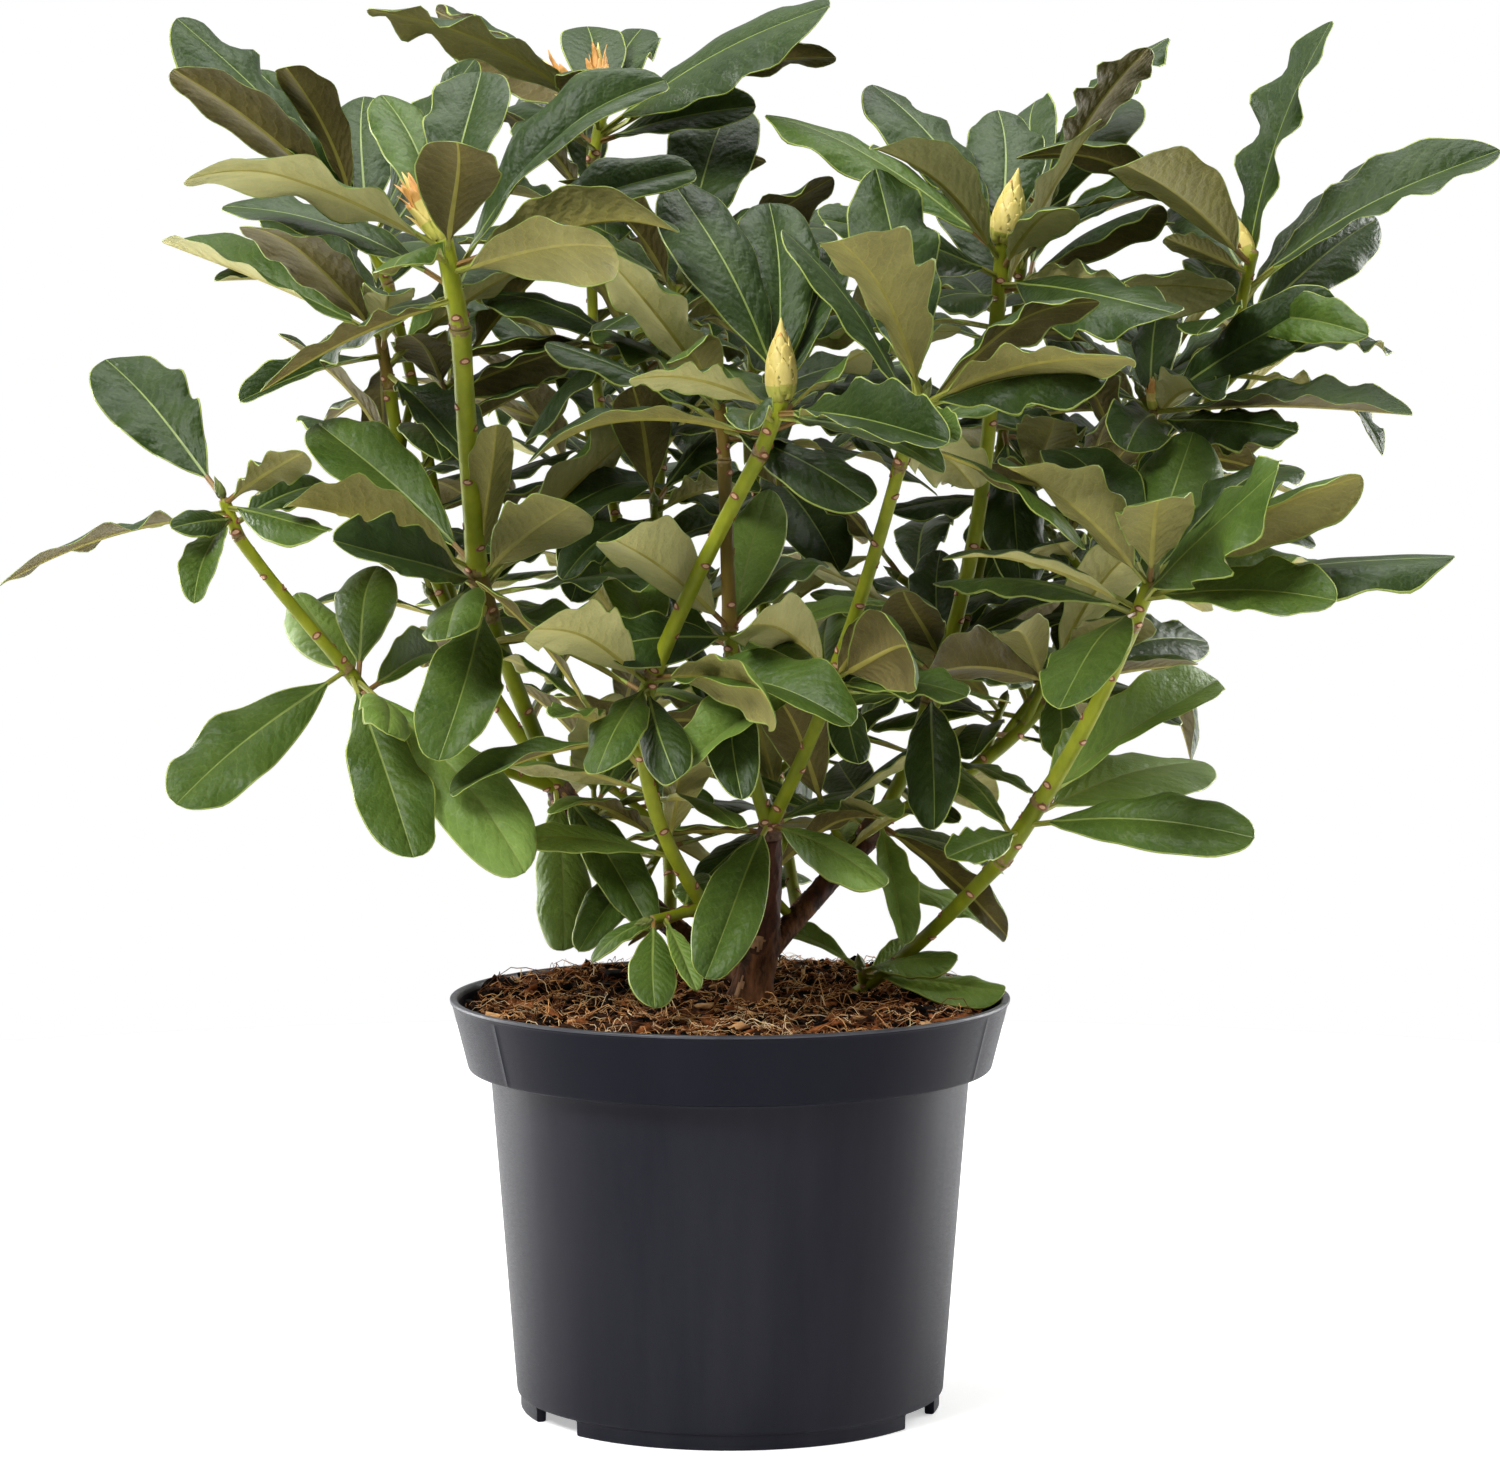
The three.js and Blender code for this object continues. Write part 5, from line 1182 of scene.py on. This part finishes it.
close_group(veins, Vein=vein, Height=maths(veins, "SUBTRACT", swelling, maths(veins, "MULTIPLY", vein, 0.22)),
            Rib=ramp(veins, outwards, 0.0, 0.55, 1.0, 0.0, "SMOOTHSTEP"))


def leaf_skin(name, colours, vein_colour, gloss, vein_strength, rib_strength, relief):
    """The skin of one side of a leaf: softly mottled green, a little paler along its veins and
    towards the midrib, with the veins' relief (negative where they stand out, as underneath), a
    slow swell of the whole blade, a fine leathery grain, and a gloss that wanders. The relief
    fades where the leaf is seen edge on."""
    material, tree, shader, patches = mottled(name, gloss[0], colours, 55.0, 1.0, 0.4, LEAF_SHINE)
    vein = add_node(tree, "Group", node_tree=veins)
    lines = maths(tree, "MULTIPLY", vein["Vein"], vein_strength)
    pale = maths(tree, "MULTIPLY_ADD", vein["Rib"], rib_strength, lines)
    slow = pattern(tree, "TexNoise", (75, 75, 75), Detail=1.0)
    fine = pattern(tree, "TexNoise", (1400, 1400, 1400), Detail=2.0)
    edge_on = add_node(tree, "LayerWeight", {"Blend": 0.5})["Facing"]
    depth = ramp(tree, edge_on, 0.6, 0.9, 1.0, 0.0)
    swell = bumped(tree, slow, BLADE_SWELL, depth)
    grain = bumped(tree, fine, BLADE_GRAIN, depth, Normal=swell)
    feed(shader, {"Base Color": mixed(tree, pale, patches["Color"], vein_colour),
                  "Roughness": ramp(tree, patches["Value"], 0.0, 1.0, *gloss),
                  "Normal": bumped(tree, vein["Height"], relief, depth, Normal=grain)})
    return material


leaf_materials = [leaf_skin(*look) for look in LEAF_SKINS]
leaf_materials += [simple_material(*look) for look in RIB_AND_STALK]


def region(name):
    """Which of the five pieces the leaves of a stem belong to, by where the stem starts."""
    x, y, _ = limbs[name]["at"](0.0)
    if y > REAR_FROM:
        return "rear_left" if x < REAR_MIDDLE else "rear_right"
    return "left" if x < FRONT_MIDDLE[0] else "right" if x > FRONT_MIDDLE[1] else "middle"


for place in ("left", "middle", "right", "rear_left", "rear_right"):
    points, faces, uv = leaf_bodies([row for row in placed if region(row[0]) == place])
    leaves = make_piece(f"foliage_{place}", [(points, faces)], leaf_materials, uv)
    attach(leaves, "root")
    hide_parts(*[name for name in LEAVES if region(name) == place])

# ---- leafy twigs --------------------------------------------------------
# The short stem inside each whorl, which carries on from its shoot, and the side twigs. The
# leaf stalks stand on them closely, so their rings and knots show only at the foot.

twigs = make_shoots("leafy_twigs", twig_names + side_twigs)
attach(twigs, "root")
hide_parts(*twig_names)

# ---- leaf scars ---------------------------------------------------------
# Where an old leaf has dropped, a small shield-shaped scar stands on the shoot: a tan corky
# rim round a sunken pinkish middle. They follow each other round the shoot by golden angles.

FOOT_SCARS = [2.4, 4.0, 5.4]
SCARS_FROM = 11.0
SCAR_FREE_TIP = 3.5
SCAR_SPACING = 10.5
SCAR_WIDTH = 2.5
SCAR_HEIGHT = 1.5
SCAR_SIDES = 10
SCAR_RINGS = np.array([(1.0, -0.35), (0.86, 0.34), (0.52, 0.16), (0.001, 0.1)])  # size, stand-off
SCAR_RIM = ((0.11, 0.034, 0.014), (0.27, 0.095, 0.034))
SCAR_MIDDLE = ((0.44, 0.25, 0.13), (0.66, 0.42, 0.25))

scar_rows = []
for seed, name in enumerate(shoot_names + twig_names):
    limb = limbs[name]
    runs = [*FOOT_SCARS, *np.arange(SCARS_FROM, limb["length"] - SCAR_FREE_TIP, SCAR_SPACING)]
    for i, run in enumerate(runs):
        run = run + 3.0 * (noise(seed * 17 + i) - 0.5)
        share = run / limb["length"]
        step = np.clip([share - 0.02, share, share + 0.02], 0, 1)
        ahead, side, above = tube_frame(limb["at"](step))
        scar_rows.append((limb["at"](share), ahead[1], side[1], above[1], limb_radius(name, share),
                          math.radians(seed * 47 + i * GOLDEN_ANGLE)))
scar_count = len(scar_rows)
scar_at, scar_ahead, scar_side, scar_above, scar_radius, scar_turn = (
    np.array([row[i] for row in scar_rows])[:, None, None] for i in range(6))
turn = np.arange(SCAR_SIDES) * 2 * np.pi / SCAR_SIDES
# The shield: an oval, broader below, wrapped round the shoot, with the ring's own stand-off.
ring_share, ring_height = SCAR_RINGS.T[:, None, :, None]
wide = SCAR_WIDTH * ring_share * np.cos(turn) * (1 - 0.28 * np.sin(turn))
tall = SCAR_HEIGHT * ring_share * np.sin(turn)
wrapped = scar_turn + wide / scar_radius
outwards = scar_side * np.cos(wrapped)[..., None] + scar_above * np.sin(wrapped)[..., None]
scar_points = (scar_at + scar_ahead * np.broadcast_to(tall, wrapped.shape)[..., None]
               + outwards * (scar_radius * 1.01 + ring_height)[..., None])
i = np.arange(SCAR_SIDES)
scar_faces = [(ring_quads(4, SCAR_SIDES), np.tile(np.repeat([0, 0, 1], SCAR_SIDES), scar_count)),
              (np.stack([i[::-1], 3 * SCAR_SIDES + i]), 1)]
scar_faces = [(repeated(faces, 4 * SCAR_SIDES, scar_count), slots) for faces, slots in scar_faces]
scars = make_piece("leaf_scars", [(scar_points.reshape(-1, 3), scar_faces)],
                   [simple_material("scar_rim", 0.75, SCAR_RIM, 500.0),
                    simple_material("scar_middle", 0.75, SCAR_MIDDLE, 500.0)])
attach(scars, "root")

# ---- buds ---------------------------------------------------------------
# Next year's buds on the shoot tips: overlapping pointed scales round a solid heart. The
# flower buds are large, some fat and cream, some slim with dry orange tips that spread. Every
# other tip has a small green leaf bud.

FLOWER_BUDS = [  # stem, heading, rise, length, thickness as a share of length, whether its tips spread
    ("leaves_tall_left_top", 165, 58, 34, 0.10, True),
    ("leaves_front_top", -90, 86, 33, 0.165, False),
    ("leaves_crown", 170, 45, 36, 0.09, True),
    ("leaves_crown", 100, 76, 34, 0.105, True),
    ("leaves_tall_right_top", -30, 78, 33, 0.185, False),
    ("leaves_outer_right_top", -100, 75, 15, 0.16, True),
    ("leaves_upper_right", 150, 62, 26, 0.15, False),
]
LEAF_BUD_LENGTH = 10.0
LEAF_BUD_THICKNESS = 0.19
FLOWER_SCALES = 18
LEAF_BUD_SCALES = 7
SCALE_SHARES = np.linspace(0, 1, 8)
SCALE_ACROSS = np.array([-1, -0.5, 0, 0.5, 1, 0.5, 0, -0.5])
SCALE_FACE = np.array([0, 1, 1, 1, 0, -1, -1, -1])
SCALE_SIDES = len(SCALE_ACROSS)
SCALE_TURN = 66.0
SCALE_OVERLAP = 0.9
SCALE_THICKNESS = 0.4
FULL_BUD = 34.0  # the length of bud at which overlap and thickness are as stated
CREAM_AND_ORANGE = {True: (0.26, 0.52), False: (0.18, 0.76)}  # from where, as tips spread or not
LEAF_BUD = 3
BUD_COLOURS = {"bud_green": ((0.36, 0.36, 0.045), (0.52, 0.50, 0.09)),
               "bud_cream": ((0.60, 0.46, 0.11), (0.80, 0.66, 0.21)),
               "bud_orange": ((0.50, 0.22, 0.040), (0.76, 0.42, 0.12)),
               "leaf_bud": ((0.10, 0.13, 0.022), (0.20, 0.23, 0.05))}


def bud_radius(share, thickness):
    """Radius of a bud's heart along it, as a share of its length: (t + 0.04)^0.6 (1 - t)^1.15
    over its greatest value, so it is fullest a third of the way up and drawn out to a point."""
    t = np.clip(share, 0, 1)
    return thickness * (t + 0.04) ** 0.6 * (1 - t) ** 1.15 / 0.348


def bud_scales(foot, way, length, thickness, spreads, scale_count, seed):
    """The scales of one bud. Each wraps the heart from its own height up and narrows to a point:
    a blunt one as (1 - t^2)^0.8, or a claw as (1 - t)^0.7 that bends outwards where the tips
    spread. The lower scales overlap the upper ones."""
    order = np.arange(scale_count)[:, None, None]
    done = order / scale_count
    play = np.array([noise(seed * 31 + i) for i in range(scale_count)])[:, None, None]
    t = SCALE_SHARES[None, :, None]
    if spreads:
        reach = 0.50 * done + (0.46 + 0.10 * play) * t
        narrowing = (1 - 0.99 * t) ** 0.7
        flare = (0.02 + 0.13 * play) * t ** 3
    else:
        reach = 0.56 * done + (0.30 + 0.14 * (1 - done)) * t
        narrowing = (1 - 0.97 * t ** 2) ** 0.8
        flare = 0.0 * t
    turn = np.radians(GOLDEN_ANGLE) * order + seed + np.radians(SCALE_TURN) * narrowing * SCALE_ACROSS
    skin = np.maximum(bud_radius(reach, thickness), 0.012) * length + length * flare
    overlap = SCALE_OVERLAP * (1 - done) * (1 - 0.5 * t)
    stand_off = SCALE_THICKNESS / 2 * SCALE_FACE * np.sqrt(1 - 0.8 * t ** 2)
    skin = skin + length / FULL_BUD * (0.25 + overlap + stand_off)
    side = np.cross(way, [0.2, 0.9, 0.1])
    side = side / np.linalg.norm(side)
    above = np.cross(way, side)
    height = np.broadcast_to(reach * length, turn.shape)
    points = (foot + way * height[..., None] + side * (skin * np.cos(turn))[..., None]
              + above * (skin * np.sin(turn))[..., None])
    return points.reshape(-1, 3), np.broadcast_to(reach, (scale_count, len(SCALE_SHARES), 1))[..., 0]


bud_rows = [(stem, direction(heading, rise), *rest, FLOWER_SCALES)
            for stem, heading, rise, *rest in FLOWER_BUDS]
for stem in twig_names + side_twigs:
    if stem not in [row[0] for row in FLOWER_BUDS]:
        tip_way = limbs[stem]["at"](1.0) - limbs[stem]["at"](0.7)
        bud_rows.append((stem, tip_way / np.linalg.norm(tip_way), LEAF_BUD_LENGTH, LEAF_BUD_THICKNESS,
                         False, LEAF_BUD_SCALES))
k = np.arange(SCALE_SIDES)
scale_quads = ring_quads(len(SCALE_SHARES), SCALE_SIDES)[:, [0, 3, 2, 1]]
scale_caps = np.stack([k, SCALE_SIDES * (len(SCALE_SHARES) - 1) + k[::-1]])
heart_shares = np.linspace(0.02, 0.98, 12)
bud_parts = []
for seed, (stem, way, length, thickness, spreads, scale_count) in enumerate(bud_rows):
    is_flower = scale_count == FLOWER_SCALES
    foot = limbs[stem]["at"](0.9 if is_flower else 0.96)
    points, reach = bud_scales(foot, way, length, thickness, spreads, scale_count, seed)
    cream, orange = CREAM_AND_ORANGE[spreads]
    kind = (reach > cream) * 1 + (reach > orange) if is_flower else np.full(reach.shape, LEAF_BUD)
    scale_points = SCALE_SIDES * len(SCALE_SHARES)
    bud_parts.append((points, [
        (repeated(scale_quads, scale_points, scale_count), np.repeat(kind[:, :-1], SCALE_SIDES)),
        (repeated(scale_caps, scale_points, scale_count), kind[-1, -2])]))
    heart_radius = bud_radius(heart_shares, thickness) * length * 0.96
    heart, *heart_faces = tube_surface(foot + way * (heart_shares * length)[:, None],
                                       np.repeat(heart_radius[:, None], 12, 1))
    bud_parts.append((heart, [(faces, 1 if is_flower else LEAF_BUD) for faces in heart_faces]))
buds = make_piece("buds", bud_parts, [
    simple_material(name, 0.5, colours, 220.0, 0.5, 0.6, 0.0002) for name, colours in BUD_COLOURS.items()])
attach(buds, "root")

# ---- floor and light ----------------------------------------------------
# A plain white floor and studio: a bright backdrop, a large soft light above on the left, a
# weaker one on the right, one overhead, and two upright ones at the sides for the pot's edges.

FLOOR_RADIUS = 1.1
FLOOR_WHITE = (0.90, 0.90, 0.90)
FLOOR_GLOW = 0.45
STUDIO_DIM = 0.08
STUDIO_BRIGHT = 0.54
LIGHTS = [  # name, place, target, width, height, watts
    ("key", (-1.15, -1.35, 1.75), (0.0, 0.0, 0.36), 0.8, 0.8, 55.0),
    ("fill", (1.45, -1.35, 1.05), (0.0, 0.0, 0.30), 1.0, 1.0, 8.0),
    ("overhead", (0.0, 0.15, 1.7), (0.0, 0.0, 0.4), 1.2, 1.2, 21.0),
    ("edge_left", (-1.0, 0.62, 0.35), (0.0, 0.0, 0.2), 0.26, 1.2, 16.0),
    ("edge_right", (1.0, 0.62, 0.35), (0.0, 0.0, 0.2), 0.26, 1.2, 16.0),
]

bpy.ops.mesh.primitive_circle_add(vertices=96, radius=FLOOR_RADIUS, fill_type="NGON")
floor = bpy.context.object
floor.name = "floor"
floor_white = bpy.data.materials.new("floor_white")
floor_white.use_nodes = True
floor_tree = floor_white.node_tree
seen = add_node(floor_tree, "LightPath")["Is Camera Ray"]
feed(floor_tree.nodes["Principled BSDF"], {
    "Base Color": FLOOR_WHITE, "Roughness": 0.8, "Emission Color": (1, 1, 1),
    "Emission Strength": maths(floor_tree, "MULTIPLY", seen, FLOOR_GLOW)})
floor.data.materials.append(floor_white)

for name, place, target, width, height, watts in LIGHTS:
    lamp = add_object(name, bpy.data.lights.new(name, "AREA"))
    lamp.data.shape = "RECTANGLE"
    lamp.data.size, lamp.data.size_y, lamp.data.energy = width, height, watts
    aim(lamp, place, target)

studio = bpy.data.worlds.new("studio")
bpy.context.scene.world = studio
studio.use_nodes = True
sky = studio.node_tree
sky.nodes.clear()
way = add_node(sky, "TexCoord")["Generated"]
level = add_node(sky, "SeparateXYZ", {0: way})["Y"]
strength = ramp(sky, level, -0.5, 0.6, STUDIO_DIM, STUDIO_BRIGHT, "SMOOTHSTEP")
glow = add_node(sky, "Background", {"Color": (1, 1, 1), "Strength": strength})[0]
backdrop = add_node(sky, "Background", {"Color": (1, 1, 1), "Strength": 1.0})[0]
seen = add_node(sky, "LightPath")["Is Camera Ray"]
both = add_node(sky, "MixShader", {0: seen, 1: glow, 2: backdrop})[0]
add_node(sky, "OutputWorld", {0: both})
bpy.context.scene.view_settings.view_transform = "Standard"
